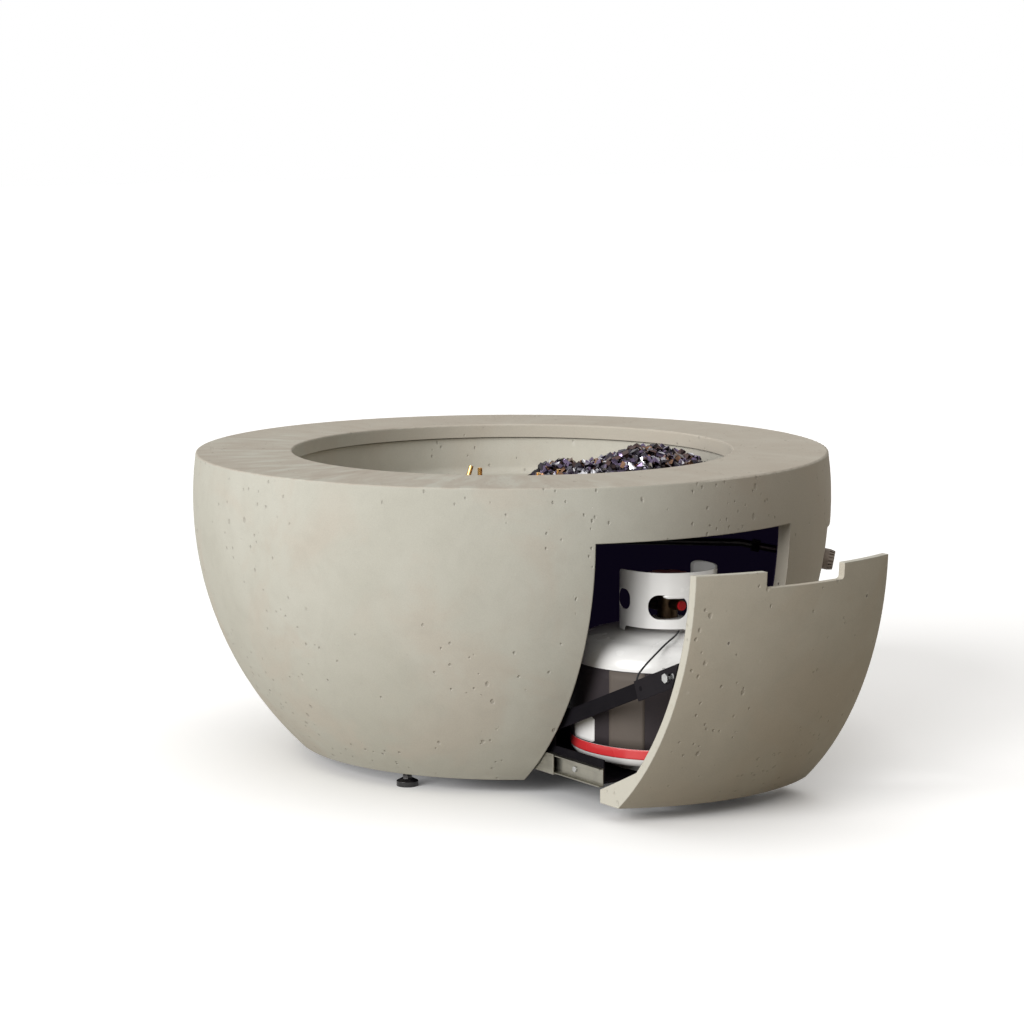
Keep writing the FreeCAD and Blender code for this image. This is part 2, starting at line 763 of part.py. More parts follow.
def make_fire_basin():
    body = new_body("fire_basin")
    section = sketch_on(body, "XZ")
    hole = "nipple_radius + nipple_clearance"
    outline(section, [
        (hole, "floor_top"),
        (hole, "floor_under"),
        ("basin_outer_radius", "floor_under"),
        ("basin_outer_radius", "flange_under"),
        ("flange_radius", "flange_under"),
        ("flange_radius", "basin_top"),
        ("basin_radius", "basin_top"),
        ("basin_radius", "floor_top + basin_corner", "basin_corner", "right"),
        ("basin_radius - basin_corner", "floor_top"),
    ])
    revolve(body, section)
    holes = sketch_on(body, "XY", "basin_top")
    for x, y in BASIN_BOLTS:
        circle(holes, x, y, "bolt_radius + bolt_clearance")
    pocket(body, holes, "flange_thickness")


def make_basin_gasket():
    body = new_body("basin_gasket")
    ring = sketch_on(body, "XY", "basin_top")
    circle(ring, "0", "0", "flange_radius")
    circle(ring, "0", "0", "basin_radius + gasket_setback")
    for x, y in BASIN_BOLTS:
        circle(ring, x, y, "bolt_radius + bolt_clearance")
    pad(body, ring, "gasket_thickness")


def make_basin_bolts():
    bolts = []
    for x, y in BASIN_BOLTS:
        bolt = hex_bolt("flange_thickness + gasket_thickness + bolt_embed")
        move(bolt, x, y, "flange_under", UPSIDE_DOWN)
        bolts.append(bolt)
    group("basin_bolts", bolts)


# The burner

def make_burner_hub():
    body = new_body("burner_hub")
    flange = sketch_on(body, "XY", "floor_top")
    circle(flange, "0", "0", "hub_flange_radius")
    pad(body, flange, "hub_flange_thickness")
    block = sketch_on(body, "XY", "floor_top + hub_flange_thickness")
    half = "hub_width / 2"
    outline(block, box_corners("-" + half, half, "-" + half, half))
    pad(body, block, "hub_height")
    nipple = sketch_on(body, "XY", "floor_top")
    circle(nipple, "0", "0", "nipple_radius")
    pad(body, nipple, "floor_top - nipple_end", reverse=True)


def make_burner_locknut():
    body = new_body("burner_locknut", z="floor_under")
    nut = sketch_on(body, "XY")
    outline(nut, hexagon("0", "0", "locknut_across"))
    circle(nut, "0", "0", "nipple_radius + tube_nut_clearance")
    pad(body, nut, "locknut_height", reverse=True)


def make_burner_arms():
    body = new_body("burner_arms", z="arm_level")
    section = sketch_on(body, "YZ", "hub_width / 2")
    circle(section, "0", "0", "arm_radius")
    circle(section, "0", "0", "arm_radius - arm_wall")
    around_axis(body, [pad(body, section, "arm_length")], 4)


def make_burner_caps():
    body = new_body("burner_caps", z="arm_level")
    section = sketch_on(body, "YZ", "hub_width / 2 + arm_length")
    circle(section, "0", "0", "cap_radius")
    around_axis(body, [pad(body, section, "cap_length")], 4)


JET_STATIONS = {"jet_inner_station": 1, "jet_middle_station": 0, "jet_outer_station": 1}


def make_burner_jets():
    """Two jets on each arm and a third on two of them; the inner and outer ones lean about the arm's axis."""
    jets = []
    for quarter in range(4):
        turn = FreeCAD.Rotation(FreeCAD.Vector(0, 0, 1), 90 * quarter)
        for station, leans in JET_STATIONS.items():
            if quarter % 2 and station == "jet_inner_station":
                continue
            stem = rod("jet_radius", "jet_length", "arm_radius")
            collar = rod("jet_collar_radius", "jet_collar_length", "arm_radius")
            orifice_start = "arm_radius + jet_length - jet_orifice_depth"
            orifice = rod("jet_orifice_radius", "jet_orifice_depth", orifice_start)
            jet = cut(fuse(stem, collar), orifice)
            lean = FreeCAD.Rotation(FreeCAD.Vector(1, 0, 0), value("jet_lean") * leans)
            sine, cosine = round(math.sin(math.pi / 2 * quarter)), round(math.cos(math.pi / 2 * quarter))
            move(jet, "%d * %s" % (cosine, station), "%d * %s" % (sine, station), "arm_level", turn * lean)
            jets.append(jet)
    group("burner_jets", jets)


def scatter(row, column, kind):
    """A repeatable number from -1 to 1 for one node of the heap."""
    wave = math.sin(12.9898 * row + 78.233 * column + 37.719 * kind) * 43758.5453
    return 2 * (wave - math.floor(wave)) - 1


def cap_height(x, y, name):
    """Height of a round cap of glass at a place, from its sizes in the sheet."""
    turn, station = math.radians(value(name + "_turn")), value(name + "_station")
    curve = value(name + "_curve")
    across = math.hypot(x - station * math.cos(turn), y - station * math.sin(turn))
    if across >= curve:
        return 0.0
    return value(name + "_crest") - curve + math.sqrt(curve**2 - across**2)


def glass_height(x, y):
    """Height of the heap: two caps, sloping down to the arms beside it and to the basin's wall."""
    slope, edge = value("glass_slope"), value("glass_edge")
    arm_end = value("hub_width / 2 + arm_length + cap_length")
    to_arms = min(math.hypot(max(x - arm_end, 0, -x), y), math.hypot(x, max(-y - arm_end, 0, y)))
    return min(
        max(cap_height(x, y, "glass"), cap_height(x, y, "mound")),
        edge + slope * (to_arms - value("glass_arm_gap")),
        edge + value("glass_wall_slope") * (value("glass_round") - math.hypot(x, y)),
    )


def glass_nodes():
    """Nodes on rings about the bowl's axis, and the height of each; those round the outside stay at nought."""
    pitch, start, edge = value("glass_pitch"), value("glass_start"), value("glass_edge")
    rings = int((value("glass_round") - start) / pitch) + 1
    spread = value("glass_turn_high") - value("glass_turn_low")
    columns = int(spread / value("glass_turn_pitch")) + 1
    places, heights = {}, {}
    for row in range(rings):
        for column in range(columns):
            inside = 0 < row < rings - 1 and 0 < column < columns - 1
            radius = value("glass_round") - pitch * (rings - 1 - row + 0.3 * inside * scatter(row, column, 0))
            step = column + 0.3 * inside * scatter(row, column, 1)
            turn = math.radians(value("glass_turn_low") + spread * step / (columns - 1))
            x, y = radius * math.cos(turn), radius * math.sin(turn)
            lift = glass_height(x, y)
            places[row, column] = (x, y)
            heights[row, column] = 0.0
            if inside and lift > edge:
                heights[row, column] = max(edge, lift + value("glass_relief") * scatter(row, column, 2))
    return places, heights, rings, columns


def glass_triangles(heights, rings, columns):
    """The triangles of the net that have a raised corner, each turning left as seen from above."""
    faces = []
    for row in range(rings - 1):
        for column in range(columns - 1):
            a, b, c, d = (row, column), (row + 1, column), (row + 1, column + 1), (row, column + 1)
            halves = [(a, b, c), (a, c, d)] if (row + column) % 2 else [(a, b, d), (b, c, d)]
            faces += [half for half in halves if any(heights[node] for node in half)]
    return faces


def glass_rim(faces):
    """The edges that only one triangle has, as the node after each node of the heap's outline."""
    edges = {(face[i], face[(i + 1) % 3]) for face in faces for i in range(3)}
    return {first: second for first, second in edges if (second, first) not in edges}


def make_fire_glass():
    """A heap of glass against one side of the basin; its faceted skin rises and falls as chips do."""
    places, heights, rings, columns = glass_nodes()
    faces = glass_triangles(heights, rings, columns)
    # A level edge inside the heap would touch its underside, so one end of it is raised.
    edges = {(face[i], face[(i + 1) % 3]) for face in faces for i in range(3)}
    for first, second in sorted(edges):
        if (second, first) in edges and not heights[first] and not heights[second]:
            inner = min(first, second, key=lambda node: abs(2 * node[0] - rings) + abs(2 * node[1] - columns))
            heights[inner] = value("glass_edge")
    faces = glass_triangles(heights, rings, columns)
    level = value("floor_top")
    corners = {node: FreeCAD.Vector(x, y, level + heights[node]) for node, (x, y) in places.items()}
    skin = [Part.Face(Part.makePolygon([corners[n] for n in face + face[:1]])) for face in faces]
    after = glass_rim(faces)
    outline_nodes = [min(after)]
    while after[outline_nodes[-1]] != outline_nodes[0]:
        outline_nodes.append(after[outline_nodes[-1]])
    if len(outline_nodes) != len(after):
        raise RuntimeError("the heap of glass has more than one outline")
    ring = [corners[node] for node in reversed(outline_nodes)]
    skin.append(Part.Face(Part.makePolygon(ring + ring[:1])))
    shell = Part.makeShell(skin)
    shell.sewShape()
    heap = doc.addObject("Part::Feature", "fire_glass")
    heap.Label = "fire_glass"
    heap.Shape = Part.makeSolid(Part.Shell(shell.Faces))
    nodes.append(heap)


# The gas control

def control_body(label):
    """A body in the control's own frame: +Z outwards from the recess floor."""
    body = doc.addObject("PartDesign::Body", label)
    body.Label = label
    body.Placement = control_place()
    nodes.append(body)
    return body


def make_control_valve():
    body = control_body("control_valve")
    seat = "-(wall_behind + valve_seat_gap)"
    neck = sketch_on(body, "XY", seat)
    circle(neck, "0", "0", "neck_radius")
    pad(body, neck, "wall_behind + valve_seat_gap + neck_proud")
    flange = sketch_on(body, "XY", seat)
    circle(flange, "0", "0", "valve_flange_radius")
    pad(body, flange, "valve_flange_thickness", reverse=True)
    barrel = sketch_on(body, "XY", seat + " - valve_flange_thickness")
    circle(barrel, "0", "0", "valve_radius")
    pad(body, barrel, "valve_length", reverse=True)
    spigot = sketch_on(body, "XY", seat + " - valve_flange_thickness - valve_length")
    circle(spigot, "0", "0", "tube_radius")
    pad(body, spigot, "spigot_length", reverse=True)
    inlet = sketch_on(body, "XZ")
    circle(inlet, "0", seat + " - valve_flange_thickness - inlet_back", "inlet_radius")
    pad(body, inlet, "inlet_length")
    bore = sketch_on(body, "XY", "neck_proud")
    circle(bore, "0", "0", "stem_radius + stem_clearance")
    pocket(body, bore, "neck_proud + stem_depth + stem_travel + hole_relief")


def make_valve_nut():
    body = control_body("valve_nut")
    nut = sketch_on(body, "XY")
    outline(nut, hexagon("0", "0", "valve_nut_across"))
    circle(nut, "0", "0", "neck_radius + tube_nut_clearance")
    pad(body, nut, "valve_nut_height")


def make_valve_stem():
    body = control_body("valve_stem")
    stem = sketch_on(body, "XY", "-stem_depth")
    circle(stem, "0", "0", "stem_radius")
    pad(body, stem, "stem_depth + stem_top")


def make_control_knob():
    """A round knob with a hollow skirt, a slight taper and grip grooves round its side."""
    body = control_body("control_knob")
    section = sketch_on(body, "XZ")
    bore = "stem_radius + stem_clearance"
    outline(section, [
        (bore, "knob_foot"),
        ("knob_cup_radius", "knob_foot"),
        ("knob_cup_radius", "knob_foot - knob_cup_depth"),
        ("knob_radius", "knob_foot - knob_cup_depth"),
        ("knob_radius", "knob_foot + knob_skirt"),
        ("knob_radius - knob_taper", "knob_top - knob_taper", "knob_taper", "left"),
        ("knob_radius - 2 * knob_taper", "knob_top"),
        ("0", "knob_top"),
        ("0", "stem_top + hole_relief"),
        (bore, "stem_top + hole_relief"),
    ])
    revolve(body, section)
    grip = sketch_on(body, "XY", "knob_foot + knob_skirt")
    width = "knob_grip_width / 2"
    grip_floor = "knob_radius - knob_taper - knob_grip_depth"
    outline(grip, box_corners(grip_floor, "knob_radius + cut_margin", "-" + width, width))
    around_axis(body, [pocket(body, grip, "knob_height", reverse=True)], 18)


def tube_body(label):
    """A body whose XZ plane runs from the bowl's axis to the control."""
    body = new_body(label)
    body.Placement = FreeCAD.Placement(
        FreeCAD.Vector(), FreeCAD.Rotation(FreeCAD.Vector(0, 0, 1), value("control_turn") - 90))
    return body


SPIGOT_X = "((control_radius - spigot_end) * cos(control_tilt * 1 deg) - profile_offset)"
SPIGOT_Z = "(equator_height - (control_radius - spigot_end) * sin(control_tilt * 1 deg))"
KNEE_X = "(%s - (tube_run - %s) / tan(control_tilt * 1 deg))" % (SPIGOT_X, SPIGOT_Z)


def make_supply_tube():
    """From the valve's spigot level to the axis, then up to the burner's nipple."""
    body = tube_body("supply_tube")
    path = sketch_on(body, "XZ")
    line_points = [
        (SPIGOT_X, SPIGOT_Z), (KNEE_X, "tube_run"), ("tube_bend", "tube_run"),
        ("0", "tube_run + tube_bend"), ("0", "nipple_end"),
    ]
    points = [spot(x, z, 0) for x, z in line_points]
    path.addGeometry(Part.LineSegment(points[0], points[1]), False)
    path.addGeometry(Part.LineSegment(points[1], points[2]), False)
    path.addGeometry(arc_between(points[2], points[3], value("tube_bend"), "right"), False)
    path.addGeometry(Part.LineSegment(points[3], points[4]), False)
    for first, first_end, second, second_end in ((0, 2, 1, 1), (1, 2, 2, 2), (2, 1, 3, 1)):
        path.addConstraint(Sketcher.Constraint("Coincident", first, first_end, second, second_end))
    for edge, end, (x, z) in ((0, 1, line_points[0]), (1, 1, line_points[1]), (1, 2, line_points[2]),
                              (3, 1, line_points[3]), (3, 2, line_points[4])):
        hold_point(path, edge, end, x, z)
    rule = path.addConstraint(Sketcher.Constraint("Radius", 2, value("tube_bend")))
    bind(path, "Constraints[%d]" % rule, "tube_bend")
    section = sketch_on(body, "XY", "nipple_end")
    circle(section, "0", "0", "tube_radius")
    circle(section, "0", "0", "tube_radius - tube_wall")
    pipe = body.newObject("PartDesign::AdditivePipe", "pipe")
    pipe.Profile = section
    pipe.Spine = path
    pipe.Transition = "Right corner"
    doc.recompute()


def make_tube_nuts():
    nuts = []
    tilt = FreeCAD.Rotation(FreeCAD.Vector(0, 0, 1), value("control_turn") - 90)
    along = control_place().Rotation
    spigot = control_place().multVec(spot("0", "0", "-spigot_end"))
    for centre, rotation in ((spigot, along), (spot(0, 0, "nipple_end - tube_nut_length / 2"), tilt)):
        nut = cut(
            hex_rod("tube_nut_across", "tube_nut_length"),
            rod("tube_radius + tube_nut_clearance", "tube_nut_length"))
        nut.Placement = FreeCAD.Placement(centre, rotation)
        nut.Placement.Base -= rotation.multVec(FreeCAD.Vector(0, 0, value("tube_nut_length / 2")))
        nuts.append(nut)
    group("tube_nuts", nuts)


# Feet

def make_feet():
    for corner, (x, y) in FEET.items():
        body = new_body("foot_pad_" + corner, y, x)
        section = sketch_on(body, "XZ")
        outline(section, [
            ("0", "0"),
            ("pad_radius", "0"),
            ("pad_radius", "pad_edge"),
            ("pad_neck_radius", "pad_height"),
            ("0", "pad_height"),
        ])
        revolve(body, section)
        stud = new_body("foot_stud_" + corner, y, x, "pad_height")
        hexed = sketch_on(stud, "XY")
        outline(hexed, hexagon("0", "0", "stud_hex_across"))
        pad(stud, hexed, "stud_hex_height")
        thread = sketch_on(stud, "XY")
        circle(thread, "0", "0", "stud_radius")
        pad(stud, thread, "stud_length")


def make_foot_inserts():
    inserts = []
    for x, y in FEET.values():
        thread = rod("stud_radius + stud_clearance", "insert_length")
        insert = cut(rod("insert_radius", "insert_length"), thread)
        move(insert, x, y, "foot_gap")
        inserts.append(insert)
    group("foot_inserts", inserts)


# Rails and slides

def side_pair(side, low, high):
    """Low and high X of something given by its inner and outer distance from the middle."""
    if side > 0:
        return low, high
    return "-(%s)" % high, "-(%s)" % low


def run_along_y(body, corners, front, back):
    """Pads an outline in XZ from y = back to y = -front."""
    section = sketch_on(body, "XZ", "-(%s)" % back)
    outline(section, corners)
    return pad(body, section, "%s + %s" % (front, back))


def make_base_rail(name, side):
    body = new_body("base_rail_" + name)
    x = ["%d * %s" % (side, text) for text in
         ("slide_face", "(slide_face + rail_foot)", "(slide_face + rail_sheet)")]
    corners = [
        (x[0], "lip_top"),
        (x[1], "lip_top"),
        (x[1], "lip_top + rail_sheet"),
        (x[2], "lip_top + rail_sheet"),
        (x[2], "lip_top + rail_height"),
        (x[0], "lip_top + rail_height"),
    ]
    run_along_y(body, corners, "rail_half", "rail_half")
    bolts = sketch_on(body, "XY", "lip_top")
    for spot_x, spot_y in RAIL_BOLTS:
        if (value(spot_x) > 0) == (side > 0):
            circle(bolts, spot_x, spot_y, "bolt_radius + bolt_clearance")
    pocket(body, bolts, "rail_sheet", reverse=True)
    screws = sketch_on(body, "YZ", "%d * slide_face" % side)
    for y in SLIDE_HOLES:
        circle(screws, y, "slide_middle", "screw_radius + screw_clearance")
    pocket(body, screws, "rail_sheet", reverse=side > 0)


def make_rail_bolts():
    bolts = []
    for x, y in RAIL_BOLTS:
        bolt = hex_bolt("rail_sheet + bolt_embed")
        move(bolt, x, y, "lip_top + rail_sheet")
        bolts.append(bolt)
    group("rail_bolts", bolts)


def make_rear_crossbar():
    """A strip across the back with a bent tab against each rail."""
    body = new_body("rear_crossbar")
    shape = sketch_on(body, "XY", "lip_top + rail_height - crossbar_height")
    inner = "(slide_face - rail_sheet)"
    back = "crossbar_station + crossbar_tab"
    outline(shape, [
        ("-slide_face", "crossbar_station"),
        ("slide_face", "crossbar_station"),
        ("slide_face", back),
        (inner, back),
        (inner, "crossbar_station + rail_sheet"),
        ("-" + inner, "crossbar_station + rail_sheet"),
        ("-" + inner, back),
        ("-slide_face", back),
    ])
    pad(body, shape, "crossbar_height")


def slide_member(label, side, web_far, web_near, tip, inset, slide_y, front="slide_front"):
    """One member of a ball slide: a channel as long as the slide, inset from the slide's height."""
    body = new_body(label, slide_y)
    low = "slide_lift + %s" % inset
    high = "slide_top - (%s)" % inset

    def x(text):
        return "%d * (%s)" % (side, text)
    corners = [
        (x(web_far), low),
        (x(tip), low),
        (x(tip), low + " + slide_sheet"),
        (x(web_near), low + " + slide_sheet"),
        (x(web_near), high + " - slide_sheet"),
        (x(tip), high + " - slide_sheet"),
        (x(tip), high),
        (x(web_far), high),
    ]
    run_along_y(body, corners, front, "slide_back")
    holes = sketch_on(body, "YZ", x(web_far))
    for y in SLIDE_HOLES:
        circle(holes, y, "slide_middle", "screw_radius + screw_clearance")
    inwards = value(web_near) < value(web_far)
    pocket(body, holes, "slide_sheet", reverse=(side > 0) != inwards)


def make_slides():
    nested = "(slide_sheet + slide_play)"
    for name, side in SIDES.items():
        tip, middle_web = "tray_half + slide_lip", "slide_face - " + nested
        slide_member("slide_outer_" + name, side, "slide_face", "slide_face - slide_sheet", tip, "0", "0",
                     "slide_front - slide_setback")
        slide_member("slide_middle_" + name, side, middle_web, middle_web + " - slide_sheet", tip, nested,
                     "-drawer_out / 2")
        slide_member("slide_inner_" + name, side, "tray_half", "tray_half + slide_sheet",
                     "slide_face - 2 * " + nested, "2 * " + nested, "-drawer_out")


def make_slide_screws():
    on_rails, on_tray = [], []
    for side in SIDES.values():
        for y in SLIDE_HOLES:
            screw = pan_screw("rail_sheet + slide_sheet")
            move(screw, "%d * (slide_face + rail_sheet)" % side, y, "slide_middle", to_side(side))
            on_rails.append(screw)
            screw = pan_screw("slide_sheet + tray_sheet")
            seat = "%d * (tray_half + slide_sheet)" % side
            move(screw, seat, y + " - drawer_out", "slide_middle", to_side(side))
            on_tray.append(screw)
    group("rail_screws", on_rails)
    group("tray_screws", on_tray)


# The drawer

def make_drawer_front():
    """A slice of the bowl: a sloping lip with a seat for the tray's nose, a finger notch and two bosses."""
    body = new_body("drawer_front", "-drawer_out")
    section = sketch_on(body, "XZ")
    outline(section, [
        ("panel_top_inner", "panel_top"),
        ("panel_top_outer", "panel_top", "profile_radius", "right"),
        ("base_radius", "foot_gap"),
        ("lip_inner_radius", "foot_gap"),
        ("lip_inner_radius", "lip_top - lip_slope_drop"),
        ("slope_end_radius", "slope_end_level", "panel_inner_radius", "left"),
    ])
    revolve(body, section)
    slice_edge = sketch_on(body, "XY")
    far = "max_radius + cut_margin"
    outline(slice_edge, box_corners("-(%s)" % far, far, "-(%s)" % far, far))
    outline(slice_edge, box_corners("-panel_half", "panel_half", "-max_radius - cut_margin / 2", "0"))
    pocket(body, slice_edge, "rim_height", reverse=True)
    bosses = sketch_on(body, "XZ", "bracket_face")
    for side in SIDES.values():
        low, high = side_pair(side, "bracket_inner", "plate_inner - plate_sheet")
        outline(bosses, box_corners(low, high, "bracket_low", "bracket_top"))
    pad(body, bosses, "boss_length")
    outside = sketch_on(body, "XZ")
    outline(outside, [
        ("base_radius", "foot_gap", "profile_radius", "left"),
        ("panel_top_outer", "panel_top"),
        ("max_radius + boss_length", "panel_top"),
        ("max_radius + boss_length", "foot_gap"),
    ])
    groove(body, outside)
    notch = sketch_on(body, "XZ")
    half, floor = "notch_width / 2", "panel_top - notch_depth"
    outline(notch, [
        ("-%s + notch_corner" % half, floor),
        ("%s - notch_corner" % half, floor, "notch_corner", "left"),
        (half, floor + " + notch_corner"),
        (half, "panel_top + cut_margin"),
        ("-" + half, "panel_top + cut_margin"),
        ("-" + half, floor + " + notch_corner", "notch_corner", "left"),
    ])
    pocket(body, notch, "max_radius + cut_margin", reverse=True)
    seat = sketch_on(body, "XY", "lip_top")
    outline(seat, [
        ("-nose_pocket_half", "0"),
        ("-nose_pocket_half", "-nose_pocket_front", "panel_lip_radius", "left"),
        ("nose_pocket_half", "-nose_pocket_front"),
        ("nose_pocket_half", "0"),
    ])
    pocket(body, seat, "slope_end_level - lip_top", reverse=True)
    holes = sketch_on(body, "XY", "lip_top")
    for side in SIDES.values():
        circle(holes, "%d * tray_bolt_side" % side, TRAY_BOLT_Y, "bolt_radius + stud_clearance")
    pocket(body, holes, "bolt_embed + hole_relief")
    screw_holes = sketch_on(body, "XZ", "bracket_face")
    for x, z in bracket_screw_spots():
        circle(screw_holes, x, z, "screw_radius + stud_clearance")
    pocket(body, screw_holes, "bolt_embed + hole_relief", reverse=True)


TRAY_BOLT_Y = "-sqrt(tray_bolt_station^2 - tray_bolt_side^2)"


def bracket_screw_spots():
    middle = "(bracket_low + bracket_height / 2)"
    columns = ["%d * (bracket_inner + bracket_screw_inset)" % side for side in SIDES.values()]
    rows = ["%s + %d * bracket_screw_pitch / 2" % (middle, level) for level in (-1, 1)]
    return [(column, row) for column in columns for row in rows]


def make_drawer_tray():
    """A folded steel tray: its round nose rests on the panel's lip, and its side flanges have ears."""
    body = new_body("drawer_tray", "-drawer_out")
    floor = sketch_on(body, "XY", "lip_top")
    outline(floor, [
        ("-tray_half", "slide_back"),
        ("-tray_half", "-slide_front"),
        ("-tray_nose_half", "-slide_front"),
        ("-tray_nose_half", "-tray_nose_front", "tray_nose", "left"),
        ("tray_nose_half", "-tray_nose_front"),
        ("tray_nose_half", "-slide_front"),
        ("tray_half", "-slide_front"),
        ("tray_half", "slide_back"),
    ])
    pad(body, floor, "tray_sheet")
    ear_front, ear_back = "-brace_foot - tray_ear_width / 2", "-brace_foot + tray_ear_width / 2"
    for side in SIDES.values():
        low = side_pair(side, "tray_half - tray_sheet", "tray_half")[0]
        flange = sketch_on(body, "YZ", low)
        outline(flange, [
            ("-slide_front", "lip_top"), ("slide_back", "lip_top"), ("slide_back", "tray_flange_top"),
            (ear_back, "tray_flange_top"), (ear_back, "tray_ear_top"), (ear_front, "tray_ear_top"),
            (ear_front, "tray_flange_top"), ("-slide_front", "tray_flange_top"),
        ])
        pad(body, flange, "tray_sheet")
    back = sketch_on(body, "XZ", "-slide_back")
    outline(back, box_corners("-tray_half", "tray_half", "lip_top", "lip_top + tray_back_rise"))
    pad(body, back, "tray_sheet")
    screws = sketch_on(body, "YZ", "-tray_half")
    for y in SLIDE_HOLES:
        circle(screws, y, "slide_middle", "screw_radius + screw_clearance")
    circle(screws, "-brace_foot", "brace_foot_level", "bolt_radius + bolt_clearance")
    pocket(body, screws, "2 * tray_half", reverse=True)
    bolts = sketch_on(body, "XY", "tray_top")
    for side in SIDES.values():
        circle(bolts, "%d * tray_bolt_side" % side, TRAY_BOLT_Y, "bolt_radius + bolt_clearance")
    pocket(body, bolts, "tray_sheet")


def make_tray_bolts():
    bolts = []
    for side in SIDES.values():
        bolt = hex_bolt("tray_sheet + bolt_embed")
        move(bolt, "%d * tray_bolt_side" % side, TRAY_BOLT_Y + " - drawer_out", "tray_top")
        bolts.append(bolt)
    group("tray_bolts", bolts)


def make_tank_locator():
    body = new_body("tank_locator", "-tank_rest", "0", "tray_top")
    ring = sketch_on(body, "XY")
    circle(ring, "0", "0", "locator_radius")
    circle(ring, "0", "0", "locator_radius - locator_wall")
    pad(body, ring, "locator_height")


def brace_body(label, side, inner, outer):
    """A flat piece of a brace: local -Y runs up the brace from its foot on the tray."""
    x = side_pair(side, inner, outer)[0]
    body = new_body(label, "-brace_foot - drawer_out", x, "brace_foot_level")
    rotation = FreeCAD.Rotation(FreeCAD.Vector(1, 0, 0), -value("brace_angle"))
    body.Placement = FreeCAD.Placement(body.Placement.Base, rotation)
    return body


def make_brace(name, side):
    bar = brace_body("brace_bar_" + name, side, "tray_half", "plate_inner")
    shape = sketch_on(bar, "YZ")
    half = "brace_width / 2"
    outline(shape, [
        ("0", "-" + half, half, "left"),
        (half, "0", half, "left"),
        ("0", half),
        ("-brace_length", half),
        ("-brace_length", "-" + half),
    ])
    circle(shape, "0", "0", "bolt_radius + bolt_clearance")
    circle(shape, "-plate_rivet", "0", "rivet_radius + stud_clearance")
    pad(bar, shape, "brace_sheet")
    plate = brace_body("brace_plate_" + name, side, "plate_inner", "plate_outer")
    shape = sketch_on(plate, "YZ")
    outline(shape, [
        ("-plate_start", "-plate_start_lower"),
        ("-plate_start", "plate_upper"),
        ("-plate_high_end", "plate_upper"),
        ("-plate_low_end", "-plate_end_lower"),
    ])
    middle = "-(slot_start + slot_end) / 2"
    outline(shape, round_box(middle, "0", "(slot_end - slot_start)", "slot_width", "slot_corner"))
    circle(shape, "-plate_rivet", "0", "rivet_radius + stud_clearance")
    pad(plate, shape, "plate_sheet")
    bracket = new_body("brace_bracket_" + name, "-drawer_out")
    shape = sketch_on(bracket, "XY", "bracket_low")

    def x(text):
        return "%d * (%s)" % (side, text)
    rear, inner_leg = "-bracket_face + bracket_depth", "plate_inner - plate_sheet"
    outline(shape, [
        (x("bracket_inner"), "-bracket_face"),
        (x("plate_inner"), "-bracket_face"),
        (x("plate_inner"), rear),
        (x(inner_leg), rear),
        (x(inner_leg), "-bracket_face + plate_sheet"),
        (x("bracket_inner"), "-bracket_face + plate_sheet"),
    ])
    pad(bracket, shape, "bracket_height")
    hole = sketch_on(bracket, "YZ", x(inner_leg))
    circle(hole, SLOT_BOLT_Y, SLOT_BOLT_Z, "bolt_radius + bolt_clearance")
    pocket(bracket, hole, "plate_sheet", reverse=side > 0)
    screw_holes = sketch_on(bracket, "XZ", "bracket_face - plate_sheet")
    for screw_x, screw_z in bracket_screw_spots():
        if (value(screw_x) > 0) == (side > 0):
            circle(screw_holes, screw_x, screw_z, "screw_radius + screw_clearance")
    pocket(bracket, screw_holes, "plate_sheet", reverse=True)


BRACE_COS, BRACE_SIN = "cos(brace_angle * 1 deg)", "sin(brace_angle * 1 deg)"
SLOT_BOLT_Y = "-brace_foot - slot_bolt * " + BRACE_COS
SLOT_BOLT_Z = "brace_foot_level + slot_bolt * " + BRACE_SIN
RIVET_Y = "-brace_foot - plate_rivet * " + BRACE_COS
RIVET_Z = "brace_foot_level + plate_rivet * " + BRACE_SIN


def make_brace_fasteners():
    bolts, rivets, screws = [], [], []
    for side in SIDES.values():
        bolt = hex_bolt("2 * plate_sheet")
        move(bolt, "%d * plate_outer" % side, SLOT_BOLT_Y + " - drawer_out", SLOT_BOLT_Z, to_side(side))
        bolts.append(bolt)
        bolt = hex_bolt("brace_sheet + tray_sheet")
        move(bolt, "%d * plate_inner" % side, "-brace_foot - drawer_out", "brace_foot_level", to_side(side))
        bolts.append(bolt)
        rivet_shank = rod("rivet_radius", "brace_sheet + plate_sheet", "-brace_sheet - plate_sheet")
        rivet = fuse(rod("rivet_head_radius", "rivet_head_height"), rivet_shank)
        move(rivet, "%d * tray_half" % side, RIVET_Y + " - drawer_out", RIVET_Z, to_side(-side))
        rivets.append(rivet)
    for x, z in bracket_screw_spots():
        screw = pan_screw("plate_sheet + bolt_embed")
        move(screw, x, "-bracket_face + plate_sheet - drawer_out", z, TO_BACK)
        screws.append(screw)
    group("brace_bolts", bolts)
    group("brace_rivets", rivets)
    group("bracket_screws", screws)


# The gas cylinder

def tank_part(label):
    return new_body(label, "-tank_rest", "0", "tank_base")


